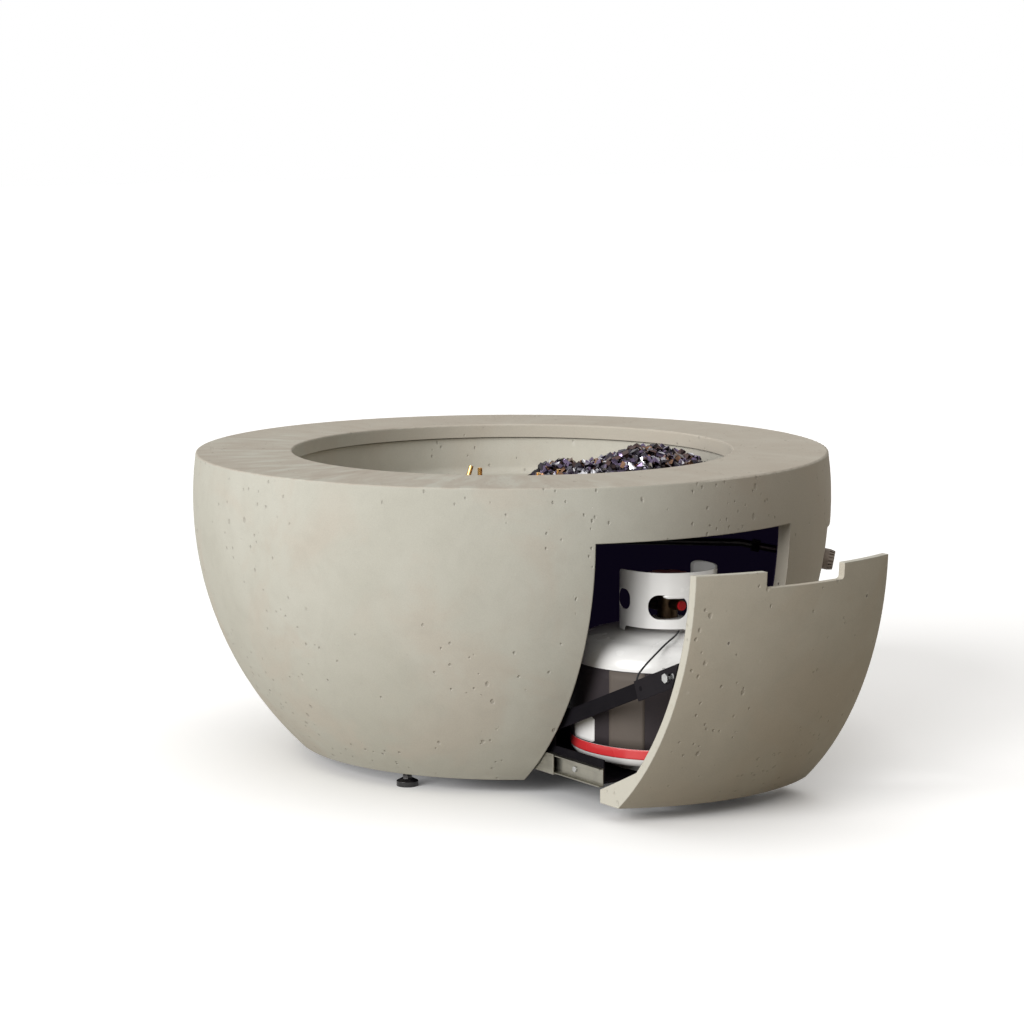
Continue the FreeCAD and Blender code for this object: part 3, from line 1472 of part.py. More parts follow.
def make_tank_body():
    """A welded steel vessel with dished ends, hollow, with a boss for the valve."""
    body = tank_part("tank_body")
    section = sketch_on(body, "XZ")
    outline(section, [
        ("0", "bottom_centre - bottom_crown", "bottom_crown", "left"),
        ("bottom_crown * bottom_sine", "bottom_centre - bottom_crown * bottom_cosine",
         "tank_bottom_knuckle", "left"),
        ("tank_radius", "tank_bottom_level"),
        ("tank_radius", "tank_top_level", "tank_top_knuckle", "left"),
        ("top_crown * top_sine", "top_centre + top_crown * top_cosine", "top_crown", "left"),
        ("tank_boss_radius", "boss_foot"),
        ("tank_boss_radius", "boss_top"),
        ("neck_bore", "boss_top"),
        ("neck_bore", "neck_foot", "top_crown - tank_wall", "right"),
        ("(top_crown - tank_wall) * top_sine", "top_centre + (top_crown - tank_wall) * top_cosine",
         "tank_top_knuckle - tank_wall", "right"),
        ("tank_radius - tank_wall", "tank_top_level"),
        ("tank_radius - tank_wall", "tank_bottom_level", "tank_bottom_knuckle - tank_wall", "right"),
        ("(bottom_crown - tank_wall) * bottom_sine",
         "bottom_centre - (bottom_crown - tank_wall) * bottom_cosine",
         "bottom_crown - tank_wall", "right"),
        ("0", "bottom_centre - bottom_crown + tank_wall"),
    ])
    revolve(body, section)


def make_foot_ring():
    body = tank_part("foot_ring")
    ring = sketch_on(body, "XY")
    circle(ring, "0", "0", "ring_radius")
    circle(ring, "0", "0", "ring_radius - ring_wall")
    pad(body, ring, "ring_top")
    hole = sketch_on(body, "YZ")
    circle(hole, "0", "ring_hole_level", "ring_hole_radius")
    around_axis(body, [pocket(body, hole, "ring_radius + cut_margin", reverse=True)], 6)


def make_tank_collar():
    """A rolled guard round the valve: open at the back, with hand holes and arches over the weld seam."""
    body = tank_part("tank_collar")
    ring = sketch_on(body, "XY", "collar_foot")
    circle(ring, "0", "0", "collar_radius")
    circle(ring, "0", "0", "collar_radius - collar_wall")
    pad(body, ring, "collar_top - collar_foot")
    reach = "collar_radius + cut_margin"
    back = sketch_on(body, "XZ")
    half, bend = "collar_gap_width / 2", "collar_gap_round"
    outline(back, [
        ("-" + half, "collar_foot - cut_margin"),
        (half, "collar_foot - cut_margin"),
        (half, "collar_top - " + bend, bend, "right"),
        (half + " + " + bend, "collar_top"),
        (half + " + " + bend, "collar_top + cut_margin"),
        ("-%s - %s" % (half, bend), "collar_top + cut_margin"),
        ("-%s - %s" % (half, bend), "collar_top", bend, "right"),
        ("-" + half, "collar_top - " + bend),
    ])
    pocket(body, back, reach)
    for sign in (-1, 1):
        for hole in ("hand_hole", "side_hole"):
            sketch = sketch_on(body, "XZ", turn="%d * %s_turn" % (sign, hole))
            sizes = [hole + "_" + word for word in ("level", "width", "height", "corner")]
            outline(sketch, round_box("0", *sizes))
            pocket(body, sketch, reach, reverse=True)
        arch = sketch_on(body, "XZ", turn="%d * collar_arch_turn" % sign)
        half, bend = "collar_arch_width / 2", "collar_arch_corner"
        outline(arch, [
            ("-" + half, "collar_foot - cut_margin"),
            (half, "collar_foot - cut_margin"),
            (half, "collar_arch_top - " + bend, bend, "left"),
            (half + " - " + bend, "collar_arch_top"),
            ("-%s + %s" % (half, bend), "collar_arch_top", bend, "left"),
            ("-" + half, "collar_arch_top - " + bend),
        ])
        pocket(body, arch, reach, reverse=True)


def make_tank_valve():
    """A brass valve: a neck in the tank's boss, an outlet to the back and a relief port to the front."""
    body = tank_part("tank_valve")
    neck = sketch_on(body, "XY", "boss_top")
    circle(neck, "0", "0", "tank_neck_radius")
    pad(body, neck, "tank_neck_depth", reverse=True)
    barrel = sketch_on(body, "XY", "boss_top")
    circle(barrel, "0", "0", "tank_valve_radius")
    pad(body, barrel, "tank_valve_height")
    bonnet = sketch_on(body, "XY", "valve_top")
    circle(bonnet, "0", "0", "bonnet_radius")
    pad(body, bonnet, "bonnet_height")
    spindle = sketch_on(body, "XY", "valve_top + bonnet_height")
    circle(spindle, "0", "0", "spindle_radius")
    pad(body, spindle, "spindle_length")
    outlet = sketch_on(body, "XZ")
    circle(outlet, "0", "boss_top + outlet_level", "outlet_radius")
    pad(body, outlet, "outlet_length", reverse=True)
    relief = sketch_on(body, "XZ")
    circle(relief, "0", "boss_top + outlet_level", "relief_radius")
    pad(body, relief, "relief_length")
    bore = sketch_on(body, "XZ", "-outlet_length")
    circle(bore, "0", "boss_top + outlet_level", "outlet_bore")
    pocket(body, bore, "outlet_bore_depth", reverse=True)


def make_relief_cap():
    body = tank_part("relief_cap")
    cap = sketch_on(body, "XZ", "relief_length")
    circle(cap, "0", "boss_top + outlet_level", "relief_cap_radius")
    pad(body, cap, "relief_cap_thickness")


def make_tank_handwheel():
    """A round wheel with finger scallops, on the valve's spindle."""
    body = tank_part("tank_handwheel")
    section = sketch_on(body, "XZ")
    bore = "spindle_radius + spindle_clearance"
    cover = "wheel_foot + wheel_thickness - wheel_cover"
    outline(section, [
        (bore, "wheel_foot"),
        ("wheel_radius", "wheel_foot"),
        ("wheel_radius", "wheel_foot + wheel_thickness"),
        ("0", "wheel_foot + wheel_thickness"),
        ("0", cover),
        (bore, cover),
    ])
    revolve(body, section)
    scallop = sketch_on(body, "XY", "wheel_foot")
    circle(scallop, "wheel_scallop_station", "0", "wheel_scallop_radius")
    around_axis(body, [pocket(body, scallop, "wheel_thickness", reverse=True)], 6)


# The tether. Its points are chosen by hand, in the drawer's place at rest.
CORD_POINTS = [
    (-27.0, -490.5, 271.5), (-48.0, -512.0, 270.5), (-78.0, -526.0, 263.5),
    (-112.0, -541.6, 251.1), (-146.0, -561.6, 242.0), (-170.5, -571.5, 228.0),
    (-174.8, -577.0, 211.0),
]


def cord_path(points):
    """Straight runs joined by tangent arcs, each as large as its two runs allow."""
    vectors = [FreeCAD.Vector(*point) for point in points]
    edges = []
    start = vectors[0]
    for before, corner, after in zip(vectors, vectors[1:], vectors[2:]):
        back, ahead = before - corner, after - corner
        half_turn = (math.pi - back.getAngle(ahead)) / 2
        setback = 0.45 * min(back.Length, ahead.Length)
        print("cord bend radius %.1f" % (setback / math.tan(half_turn)))
        entry = corner + back.normalize() * setback
        leave = corner + ahead.normalize() * setback
        inward = (entry + leave) * 0.5 - corner
        middle = corner + inward.normalize() * (setback * math.tan(half_turn / 2))
        edges.append(Part.LineSegment(start, entry).toShape())
        edges.append(Part.Arc(entry, middle, leave).toShape())
        start = leave
    edges.append(Part.LineSegment(start, vectors[-1]).toShape())
    return Part.Wire(edges)


def make_tether_cord():
    path = cord_path(CORD_POINTS)
    start = path.Edges[0]
    along = start.tangentAt(start.FirstParameter)
    section = Part.Wire(Part.makeCircle(value("cord_radius"), FreeCAD.Vector(*CORD_POINTS[0]), along))
    tube = path.makePipeShell([section], True, False)
    area = math.pi * value("cord_radius") ** 2
    print("cord length %.1f, volume ratio %.4f" % (path.Length, tube.Volume / area / path.Length))
    thing = doc.addObject("Part::Feature", "tether_cord")
    thing.Label = "tether_cord"
    thing.Shape = tube
    nodes.append(thing)


def check_and_export():
    doc.recompute()
    for thing in doc.Objects:
        if "Invalid" in thing.State or "Error" in thing.State:
            raise RuntimeError("%s failed: %s" % (thing.Label, thing.State))
    os.makedirs("parts", exist_ok=True)
    for node in nodes:
        if node.Shape.isNull() or not node.Shape.isValid():
            raise RuntimeError(node.Label + " has no valid shape")
    for node in nodes:
        node.Shape.exportStep("parts/%s.step" % node.Label)
        print("%-24s solids %2d  volume %.0f" % (node.Label, len(node.Shape.Solids), node.Shape.Volume))


fill_sheet()
make_bowl_shell()
make_fire_basin()
make_basin_gasket()
make_basin_bolts()
make_burner_hub()
make_burner_locknut()
make_burner_arms()
make_burner_caps()
make_burner_jets()
make_fire_glass()
make_control_valve()
make_valve_nut()
make_valve_stem()
make_control_knob()
make_supply_tube()
make_tube_nuts()
make_feet()
make_foot_inserts()
for rail_name, rail_side in SIDES.items():
    make_base_rail(rail_name, rail_side)
make_rail_bolts()
make_rear_crossbar()
make_slides()
make_slide_screws()
make_drawer_front()
make_drawer_tray()
make_tray_bolts()
make_tank_locator()
for brace_name, brace_side in SIDES.items():
    make_brace(brace_name, brace_side)
make_brace_fasteners()
make_tank_body()
make_foot_ring()
make_tank_collar()
make_tank_valve()
make_relief_cap()
make_tank_handwheel()
make_tether_cord()
check_and_export()
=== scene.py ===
"""Looks of the propane fire bowl: materials, small pieces, light, floor and camera, in metres."""
import itertools
import math
import random

import bmesh
import bpy
from mathutils import Matrix, Vector


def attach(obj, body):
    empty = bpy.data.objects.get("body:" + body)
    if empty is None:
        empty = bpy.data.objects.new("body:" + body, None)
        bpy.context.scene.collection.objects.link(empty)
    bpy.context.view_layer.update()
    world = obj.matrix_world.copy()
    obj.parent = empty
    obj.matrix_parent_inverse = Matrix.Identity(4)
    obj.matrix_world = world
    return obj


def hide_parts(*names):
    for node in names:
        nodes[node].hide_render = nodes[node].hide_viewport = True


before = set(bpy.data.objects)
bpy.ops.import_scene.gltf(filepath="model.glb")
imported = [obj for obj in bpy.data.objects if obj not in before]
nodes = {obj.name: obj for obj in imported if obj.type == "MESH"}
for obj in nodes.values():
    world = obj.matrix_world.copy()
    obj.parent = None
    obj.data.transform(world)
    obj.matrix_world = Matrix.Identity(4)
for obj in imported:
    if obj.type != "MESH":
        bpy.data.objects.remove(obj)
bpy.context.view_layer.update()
scene = bpy.context.scene

# Camera: angles in radians, lens and sensor in mm
CAMERA_TURN = -0.6042      # round from the drawer's front
CAMERA_PITCH = 0.1382
CAMERA_ROLL = 0.0021
CAMERA_REACH = 4.93876     # from the bowl's axis
CAMERA_HEIGHT = 1.08586
CAMERA_LENS = 104.687
CAMERA_SENSOR = 36.0
CAMERA_SHIFT = -0.00012

# Concrete bowl, drawer front and basin
PROFILE_RADIUS = 0.5652    # of the arc that is swung round the axis
PROFILE_LEVEL = 0.4277     # height of the arc's centre
PROFILE_OFFSET = 0.0342    # of the arc's centre, past the axis
RIM_LEVELS = (0.5045, 0.5072)      # heights over which the flat top's colour comes in
INNER_SHADE_DEPTHS = (0.0258, 0.0270)     # below the outer face, over which the painted shade of the bowl's inside, a near-black coat, comes in
INNER_SHADE_LEVELS = (0.4838, 0.4830)
WORN_LEVELS = (0.4040, 0.4050)     # where the drawer front's edges turn pale, with the wear added
WORN_SIDES = (0.1850, 0.1860)
WEAR = 0.0042
FLOOR_TOP = 0.4175         # of the fire basin

# Gas cylinder and its collar's front hand hole
TANK_Y = -0.427
LABEL_RADIUS = 0.15215
SECOND_LAYER = 0.15236     # radius of the print and of the painted reflection band laid over the label
LABEL_THICKNESS = 0.00018
GRIP_RADIUS = 0.0748
GRIP_LEVEL = 0.3262
GRIP_THICKNESS = 0.0036
GRIP_FLATNESS = 0.72       # its depth over its height
GRIP_START = 43.0          # in degrees from the front, towards the left
GRIP_END = 13.0

# Tether cord
TETHER_ROUTE = [(-0.0270, -0.4905, 0.2715), (-0.0480, -0.5120, 0.2705), (-0.0780, -0.5260, 0.2635),
                (-0.1120, -0.5416, 0.2511), (-0.1460, -0.5616, 0.2420), (-0.1705, -0.5715, 0.2280),
                (-0.1748, -0.5770, 0.2110)]
TETHER_RADIUS = 0.0015

# Glass chips
CHIP_HALVES = ((0.0044, 0.0078), (0.0036, 0.0062), (0.0021, 0.0040))    # half sizes from and to, each way
CHIP_STRAYS = ((0.50, 1.12), (0.50, 1.12), (0.62, 1.08))    # how far out its corners lie, in half sizes
CHIP_TILT = 0.9            # in radians
CHIP_SHARES = [0.35, 0.11, 0.26, 0.12, 0.16]    # of each kind of glass
CHIP_SPACING = 0.0105
CHIP_CLEARANCE = 0.0003    # over the basin's floor
BIG_CHIP = 1.25            # scale of the chips on the heap's corners
SMALL_CHIP = 0.95          # and of those between them
BIG_SINK = 0.0042          # how far their centres lie below the heap's skin
SMALL_SINKS = (0.0035, 0.0075)
HEAP_FOOT = 0.0025         # corners of the heap lower than this over the floor get no chip

# Light: directions towards each source, angles in degrees
KEY = Vector((-0.925, -0.163, 0.342))
KEY_ENERGY = 3.0
KEY_ANGLE = 40
COLLAR_FILL = Vector((-0.80, -0.56, 0.21))
COLLAR_ENERGY = 0.5
COLLAR_ANGLE = 30
FILL = Vector((0.908, 0.331, 0.259))
FILL_COLOUR = (0.20, 0.18, 0.15)
OVERHEAD = Vector((0, 0, 1))
SKY_TOP = (0.78, 0.77, 0.755)
SKY_LOW = (0.030, 0.027, 0.022)

# Floor
FLOOR_HALF = 30.0
FLOOR_BOUNCE = (0.44, 0.405, 0.345)    # its colour where it only lights the part
FLOOR_GLOW = 0.27
GLOW_REACH = 0.26          # from the part, over which its glow grows to the full; the held-back glow is a painted contact shadow


def make_camera():
    """Sets the camera where the photograph's was, a little to the left of the drawer."""
    right = Vector((math.cos(CAMERA_TURN), math.sin(CAMERA_TURN), 0))
    toward = Vector((math.sin(CAMERA_TURN), -math.cos(CAMERA_TURN), 0))
    forward = -toward * math.cos(CAMERA_PITCH) - OVERHEAD * math.sin(CAMERA_PITCH)
    up = right.cross(forward)
    x_axis = right * math.cos(CAMERA_ROLL) - up * math.sin(CAMERA_ROLL)
    y_axis = up * math.cos(CAMERA_ROLL) + right * math.sin(CAMERA_ROLL)
    data = bpy.data.cameras.new("camera")
    data.lens = CAMERA_LENS
    data.sensor_width = CAMERA_SENSOR
    data.shift_x = CAMERA_SHIFT
    data.clip_start = 0.1
    data.clip_end = 200.0
    camera = bpy.data.objects.new("camera", data)
    scene.collection.objects.link(camera)
    place = Matrix((x_axis, y_axis, -forward)).transposed().to_4x4()
    place.translation = toward * CAMERA_REACH + Vector((0, 0, CAMERA_HEIGHT))
    camera.matrix_world = place
    scene.camera = camera


make_camera()


# Node helpers
def new_look(name):
    """A new material: returns it with its node tree and its shader."""
    material = bpy.data.materials.new(name)
    material.use_nodes = True
    tree = material.node_tree
    return material, tree, tree.nodes["Principled BSDF"]


def feed(tree, socket, value):
    """Sets an input, or links it where the value is another node's output."""
    if isinstance(value, bpy.types.NodeSocket):
        tree.links.new(value, socket)
    else:
        socket.default_value = value


def place_of(tree):
    """The place on the object."""
    return tree.nodes.new("ShaderNodeTexCoord").outputs["Object"]


def stretched(tree, vector, scale):
    """A place scaled each way."""
    made = tree.nodes.new("ShaderNodeMapping")
    made.inputs["Scale"].default_value = scale
    tree.links.new(vector, made.inputs["Vector"])
    return made.outputs["Vector"]


def noise(tree, vector, scale, detail=3.0, rough=0.5, warp=0.0):
    """A cloudy noise from 0 to 1."""
    made = tree.nodes.new("ShaderNodeTexNoise")
    made.inputs["Scale"].default_value = scale
    made.inputs["Detail"].default_value = detail
    made.inputs["Roughness"].default_value = rough
    made.inputs["Distortion"].default_value = warp
    tree.links.new(vector, made.inputs["Vector"])
    return made.outputs["Fac"]


def shaken(tree, vector, scale, amount):
    """The same place moved about by a noise, so that patterns on it lose their even outlines."""
    wild = tree.nodes.new("ShaderNodeTexNoise")
    wild.inputs["Scale"].default_value = scale
    wild.inputs["Detail"].default_value = 2.0
    tree.links.new(vector, wild.inputs["Vector"])
    centred = tree.nodes.new("ShaderNodeVectorMath")
    centred.operation = "SUBTRACT"
    tree.links.new(wild.outputs["Color"], centred.inputs[0])
    centred.inputs[1].default_value = (0.5, 0.5, 0.5)
    moved = tree.nodes.new("ShaderNodeVectorMath")
    moved.operation = "MULTIPLY_ADD"
    tree.links.new(centred.outputs["Vector"], moved.inputs[0])
    moved.inputs[1].default_value = (amount, amount, amount)
    tree.links.new(vector, moved.inputs[2])
    return moved.outputs["Vector"]


def cells(tree, vector, scale):
    """A cell pattern: each point's distance from its cell's seed, and the cell's own random colour."""
    made = tree.nodes.new("ShaderNodeTexVoronoi")
    made.inputs["Scale"].default_value = scale
    tree.links.new(vector, made.inputs["Vector"])
    return made.outputs["Distance"], made.outputs["Color"]


def maths(tree, kind, a, b=0.0):
    """One sum on numbers or outputs."""
    made = tree.nodes.new("ShaderNodeMath")
    made.operation = kind
    for socket, value in zip(made.inputs, (a, b)):
        feed(tree, socket, value)
    return made.outputs[0]


def mixture(tree, parts):
    """The sum of two (output, share) parts."""
    first, second = [maths(tree, "MULTIPLY", value, share) for value, share in parts]
    return maths(tree, "ADD", first, second)


def spread(tree, value, low, high, to_low=0.0, to_high=1.0):
    """Maps low..high smoothly to to_low..to_high, held at both ends."""
    made = tree.nodes.new("ShaderNodeMapRange")
    made.interpolation_type = "SMOOTHSTEP"
    for name, number in (("From Min", low), ("From Max", high), ("To Min", to_low), ("To Max", to_high)):
        made.inputs[name].default_value = number
    feed(tree, made.inputs["Value"], value)
    return made.outputs["Result"]


def blend_colour(tree, share, a, b, kind="MIX"):
    """Colour a with a share of colour b."""
    made = tree.nodes.new("ShaderNodeMix")
    made.data_type = "RGBA"
    made.blend_type = kind
    for socket, value in ((made.inputs[0], share), (made.inputs[6], a), (made.inputs[7], b)):
        feed(tree, socket, value)
    return made.outputs[2]


def tinted(tree, colour, mask, share, other):
    """A colour that goes a share of the way to another one where the mask is 1."""
    return blend_colour(tree, maths(tree, "MULTIPLY", mask, share), colour, other)


def steps(tree, share, stops):
    """A colour ramp through (place, colour) stops."""
    made = tree.nodes.new("ShaderNodeValToRGB")
    ramp = made.color_ramp
    while len(ramp.elements) < len(stops):
        ramp.elements.new(0.5)
    for element, (where, colour) in zip(ramp.elements, stops):
        element.position = where
        element.color = colour
    tree.links.new(share, made.inputs["Fac"])
    return made.outputs["Color"]


def relief(tree, height, depth, strength=1.0, under=None):
    """A bump: depth is in metres."""
    made = tree.nodes.new("ShaderNodeBump")
    made.inputs["Distance"].default_value = depth
    made.inputs["Strength"].default_value = strength
    tree.links.new(height, made.inputs["Height"])
    if under is not None:
        tree.links.new(under, made.inputs["Normal"])
    return made.outputs["Normal"]


def soft_edges(tree, radius):
    """A normal that rounds sharp edges off."""
    made = tree.nodes.new("ShaderNodeBevel")
    made.samples = 6
    made.inputs["Radius"].default_value = radius
    return made.outputs["Normal"]


def shade(r, g, b):
    """A full colour from its three parts."""
    return (r, g, b, 1.0)


# Materials
STAIN = (0.30, 0.285, 0.245)
PAINTED_RIGHT_SHADE = (0.425, 0.374, 0.308)    # painted shade: the bowl's right side, away from the key light, goes warmer and darker than its left
GRIT_DARK = (0.25, 0.24, 0.21)
GRIT_LIGHT = (0.80, 0.80, 0.78)
# Painted shade for the dimples and pinholes
DIMPLE_SHADE = (0.17, 0.15, 0.122)
PINHOLE_SHADE = (0.110, 0.092, 0.074)
PINHOLE_RIM = (0.80, 0.79, 0.74)
CUT_EDGE = (0.560, 0.545, 0.478)
# Painted shade and glow of the bowl's inside: a near-black violet coat and a faint violet emission
INNER_SHADE = (0.026, 0.019, 0.042)
INNER_PAINTED_GLOW = (0.0028, 0.0019, 0.0058)


def across_axis(tree, x, y):
    """Distance from the bowl's axis."""
    squares = maths(tree, "ADD", maths(tree, "MULTIPLY", x, x), maths(tree, "MULTIPLY", y, y))
    return maths(tree, "SQRT", squares)


def trowel_marks(tree, x, y, radius):
    """Broad strokes drawn outwards over the rim's flat top, as a noise."""
    polar = tree.nodes.new("ShaderNodeCombineXYZ")
    tree.links.new(maths(tree, "MULTIPLY", maths(tree, "ARCTAN2", y, x), 9.0), polar.inputs["X"])
    tree.links.new(maths(tree, "MULTIPLY", radius, 5.5), polar.inputs["Y"])
    return noise(tree, shaken(tree, polar.outputs["Vector"], 1.4, 0.5), 1.5, 5.0, 0.62)


def rim_top(tree, at, x, y, radius):
    """Colour of the rim's flat top: cloudy, with trowel strokes mostly on the left."""
    plain = steps(tree, noise(tree, at, 7.5, 5.0, 0.6, 0.7),
                  [(0.34, shade(0.446, 0.398, 0.334)), (0.66, shade(0.500, 0.462, 0.396))])
    drawn = steps(tree, trowel_marks(tree, x, y, radius),
                  [(0.34, shade(0.425, 0.374, 0.314)), (0.50, shade(0.470, 0.430, 0.366)),
                   (0.64, shade(0.528, 0.514, 0.448))])
    return blend_colour(tree, spread(tree, x, 0.05, -0.36, 0.15, 0.95), plain, drawn)


def air_pits(tree, at):
    """Air pits in cast concrete, in crowds: returns faint dimples and dark pinholes, which get painted
    shade, and the pinholes' pale rims.
    """
    crowd = spread(tree, noise(tree, at, 6.1, 3.0, 0.55), 0.40, 0.62, 0.92, 0.40)
    loose = shaken(tree, at, 130.0, 0.0035)
    fine, fine_tint = cells(tree, stretched(tree, loose, (1.0, 1.0, 0.72)), 82.0)
    dimples = maths(tree, "MULTIPLY", spread(tree, fine, 0.08, 0.21, 1.0, 0.0),
                    maths(tree, "GREATER_THAN", fine_tint, crowd))
    broad, broad_tint = cells(tree, stretched(tree, loose, (1.0, 1.0, 0.60)), 41.0)
    hollows = maths(tree, "MULTIPLY", spread(tree, broad, 0.07, 0.16, 1.0, 0.0),
                    maths(tree, "GREATER_THAN", broad_tint, maths(tree, "ADD", crowd, 0.06)))
    few, few_tint = cells(tree, stretched(tree, loose, (1.0, 1.0, 0.66)), 26.0)
    chosen = maths(tree, "GREATER_THAN", few_tint, 0.66)
    holes = maths(tree, "MULTIPLY", spread(tree, few, 0.030, 0.052, 1.0, 0.0), chosen)
    rims = maths(tree, "MULTIPLY", spread(tree, few, 0.115, 0.060, 0.0, 1.0), chosen)
    return maths(tree, "MAXIMUM", dimples, hollows), holes, rims


def worn_edges(tree, at, x, z):
    """A mask of the drawer front's top and side faces, with a ragged edge."""
    worn = maths(tree, "MULTIPLY", noise(tree, at, 75.0, 4.0, 0.7, 0.5), WEAR)
    top = spread(tree, maths(tree, "ADD", z, worn), *WORN_LEVELS)
    aside = maths(tree, "ADD", maths(tree, "ABSOLUTE", x), worn)
    return maths(tree, "MAXIMUM", top, spread(tree, aside, *WORN_SIDES))


def inner_face(tree, z, radius):
    """A mask of the bowl's inside, which gets painted shade and a painted glow, from the depth below its
    outer face.
    """
    level = maths(tree, "SUBTRACT", z, PROFILE_LEVEL)
    rest = maths(tree, "SUBTRACT", PROFILE_RADIUS ** 2, maths(tree, "MULTIPLY", level, level))
    outer = maths(tree, "SUBTRACT", maths(tree, "SQRT", rest), PROFILE_OFFSET)
    depth = maths(tree, "SUBTRACT", outer, radius)
    return maths(tree, "MULTIPLY", spread(tree, depth, *INNER_SHADE_DEPTHS), spread(tree, z, *INNER_SHADE_LEVELS))


def concrete(name, dark, light, warm, bowl=False, cut_edges=False):
    """Cast concrete: cloudy tone, warm patches, fine grain and air pits with painted shade. The bowl gets
    painted warm shade on its right and painted near-black shade with a faint painted glow inside.
    """
    material, tree, shader = new_look(name)
    at = place_of(tree)
    split = tree.nodes.new("ShaderNodeSeparateXYZ")
    tree.links.new(at, split.inputs["Vector"])
    x, y, z = split.outputs
    radius = across_axis(tree, x, y)
    clouds = noise(tree, at, 3.1, 5.0, 0.55, 0.4)
    colour = steps(tree, clouds, [(0.34, shade(*dark)), (0.66, shade(*light))])
    patches = spread(tree, noise(tree, at, 5.3, 4.0, 0.6, 0.8), 0.46, 0.66, 0.0, 0.85)
    colour = blend_colour(tree, patches, colour, shade(*warm))
    stains = spread(tree, noise(tree, at, 22.0, 4.0, 0.62, 0.6), 0.40, 0.72, 0.0, 0.10)
    colour = blend_colour(tree, stains, colour, shade(*STAIN))
    if bowl:
        # Painted shade: the bowl's right side, away from the key light, goes warmer and darker.
        aside = spread(tree, x, -0.20, 0.10, 0.0, 0.62)
        colour = blend_colour(tree, aside, colour, shade(*PAINTED_RIGHT_SHADE))
        on_top = spread(tree, z, *RIM_LEVELS, 0.0, 0.90)
        colour = blend_colour(tree, on_top, colour, rim_top(tree, at, x, y, radius))
    grain = noise(tree, at, 620.0, 2.0, 0.6)
    grit = steps(tree, grain, [(0.30, shade(*GRIT_DARK)), (0.70, shade(*GRIT_LIGHT))])
    colour = blend_colour(tree, 0.08, colour, grit, "OVERLAY")
    dimples, holes, rims = air_pits(tree, at)
    # Painted shade darkens the dimples and pinholes; the pinholes' rims go pale.
    colour = tinted(tree, colour, dimples, 0.27, shade(*DIMPLE_SHADE))
    colour = tinted(tree, colour, rims, 0.16, shade(*PINHOLE_RIM))
    colour = tinted(tree, colour, holes, 0.70, shade(*PINHOLE_SHADE))
    waves = relief(tree, noise(tree, at, 16.0, 3.0, 0.5), 0.0022, 0.30, soft_edges(tree, 0.0022))
    fine = relief(tree, grain, 0.0003, 0.25, waves)
    deep = maths(tree, "MAXIMUM", maths(tree, "MULTIPLY", dimples, 0.45), holes)
    hollow = relief(tree, maths(tree, "SUBTRACT", 1.0, deep), 0.0022, 1.0, fine)
    gloss = 0.14
    if cut_edges:
        colour = tinted(tree, colour, worn_edges(tree, at, x, z), 0.80, shade(*CUT_EDGE))
    if bowl:
        # Painted shade: the bowl's inside goes near-black.
        inner = inner_face(tree, z, radius)
        colour = blend_colour(tree, inner, colour, shade(*INNER_SHADE))
        gloss = spread(tree, inner, 0.0, 1.0, 0.14, 0.05)
        # Painted glow: a faint violet emission on the inside, for the light in the drawer bay.
        faint = blend_colour(tree, inner, shade(0, 0, 0), shade(*INNER_PAINTED_GLOW))
        tree.links.new(faint, shader.inputs["Emission Color"])
        shader.inputs["Emission Strength"].default_value = 1.0
        material.cycles.emission_sampling = "NONE"
    tree.links.new(colour, shader.inputs["Base Color"])
    tree.links.new(spread(tree, clouds, 0.3, 0.7, 0.74, 0.86), shader.inputs["Roughness"])
    tree.links.new(hollow, shader.inputs["Normal"])
    feed(tree, shader.inputs["Specular IOR Level"], gloss)
    return material


def metal(name, dark, light, rough, scale, depth, along=(1, 1, 1), metallic=1.0, edge=0.0):
    """Metal with cloudy tone and fine marks; along stretches the marks."""
    material, tree, shader = new_look(name)
    at = place_of(tree)
    marks = noise(tree, stretched(tree, at, along), scale * 6, 3.0, 0.6)
    tone = mixture(tree, ((noise(tree, at, scale, 4.0, 0.6, 0.3), 0.65), (marks, 0.35)))
    colour = steps(tree, tone, [(0.32, shade(*dark)), (0.68, shade(*light))])
    tree.links.new(colour, shader.inputs["Base Color"])
    tree.links.new(spread(tree, marks, 0.25, 0.75, rough - 0.07, rough + 0.09), shader.inputs["Roughness"])
    under = soft_edges(tree, edge) if edge else None
    tree.links.new(relief(tree, marks, depth, 0.6, under), shader.inputs["Normal"])
    shader.inputs["Metallic"].default_value = metallic
    return material


def coating(name, dark, light, rough, scale, ripple, depth=0.0001, gloss=0.5, coat=0.0, edge=0.0006):
    """Paint, powder coat or plastic: slight tone changes and the fine ripple of its skin."""
    material, tree, shader = new_look(name)
    at = place_of(tree)
    cloud = noise(tree, at, scale * 0.2, 4.0, 0.55)
    skin = noise(tree, at, scale * 6, 2.0, 0.5)
    colour = steps(tree, cloud, [(0.30, shade(*dark)), (0.70, shade(*light))])
    tree.links.new(colour, shader.inputs["Base Color"])
    tree.links.new(spread(tree, cloud, 0.3, 0.7, rough - 0.04, rough + 0.05), shader.inputs["Roughness"])
    under = soft_edges(tree, edge) if edge else None
    tree.links.new(relief(tree, skin, depth, ripple, under), shader.inputs["Normal"])
    shader.inputs["Specular IOR Level"].default_value = gloss
    if coat:
        shader.inputs["Coat Weight"].default_value = coat
        shader.inputs["Coat Roughness"].default_value = 0.08
    return material


def powder_coat(name, dark, light, rough, gloss):
    """Black powder coat on steel."""
    return coating(name, dark, light, rough, scale=160.0, depth=0.00012, ripple=0.55, gloss=gloss)


def print_film(name, dark, light, rough, gloss, coat=0.0):
    """Printed film on the gas cylinder, also used for the painted reflection band."""
    return coating(name, dark, light, rough, scale=40.0, ripple=0.35, gloss=gloss, coat=coat, edge=0.0)


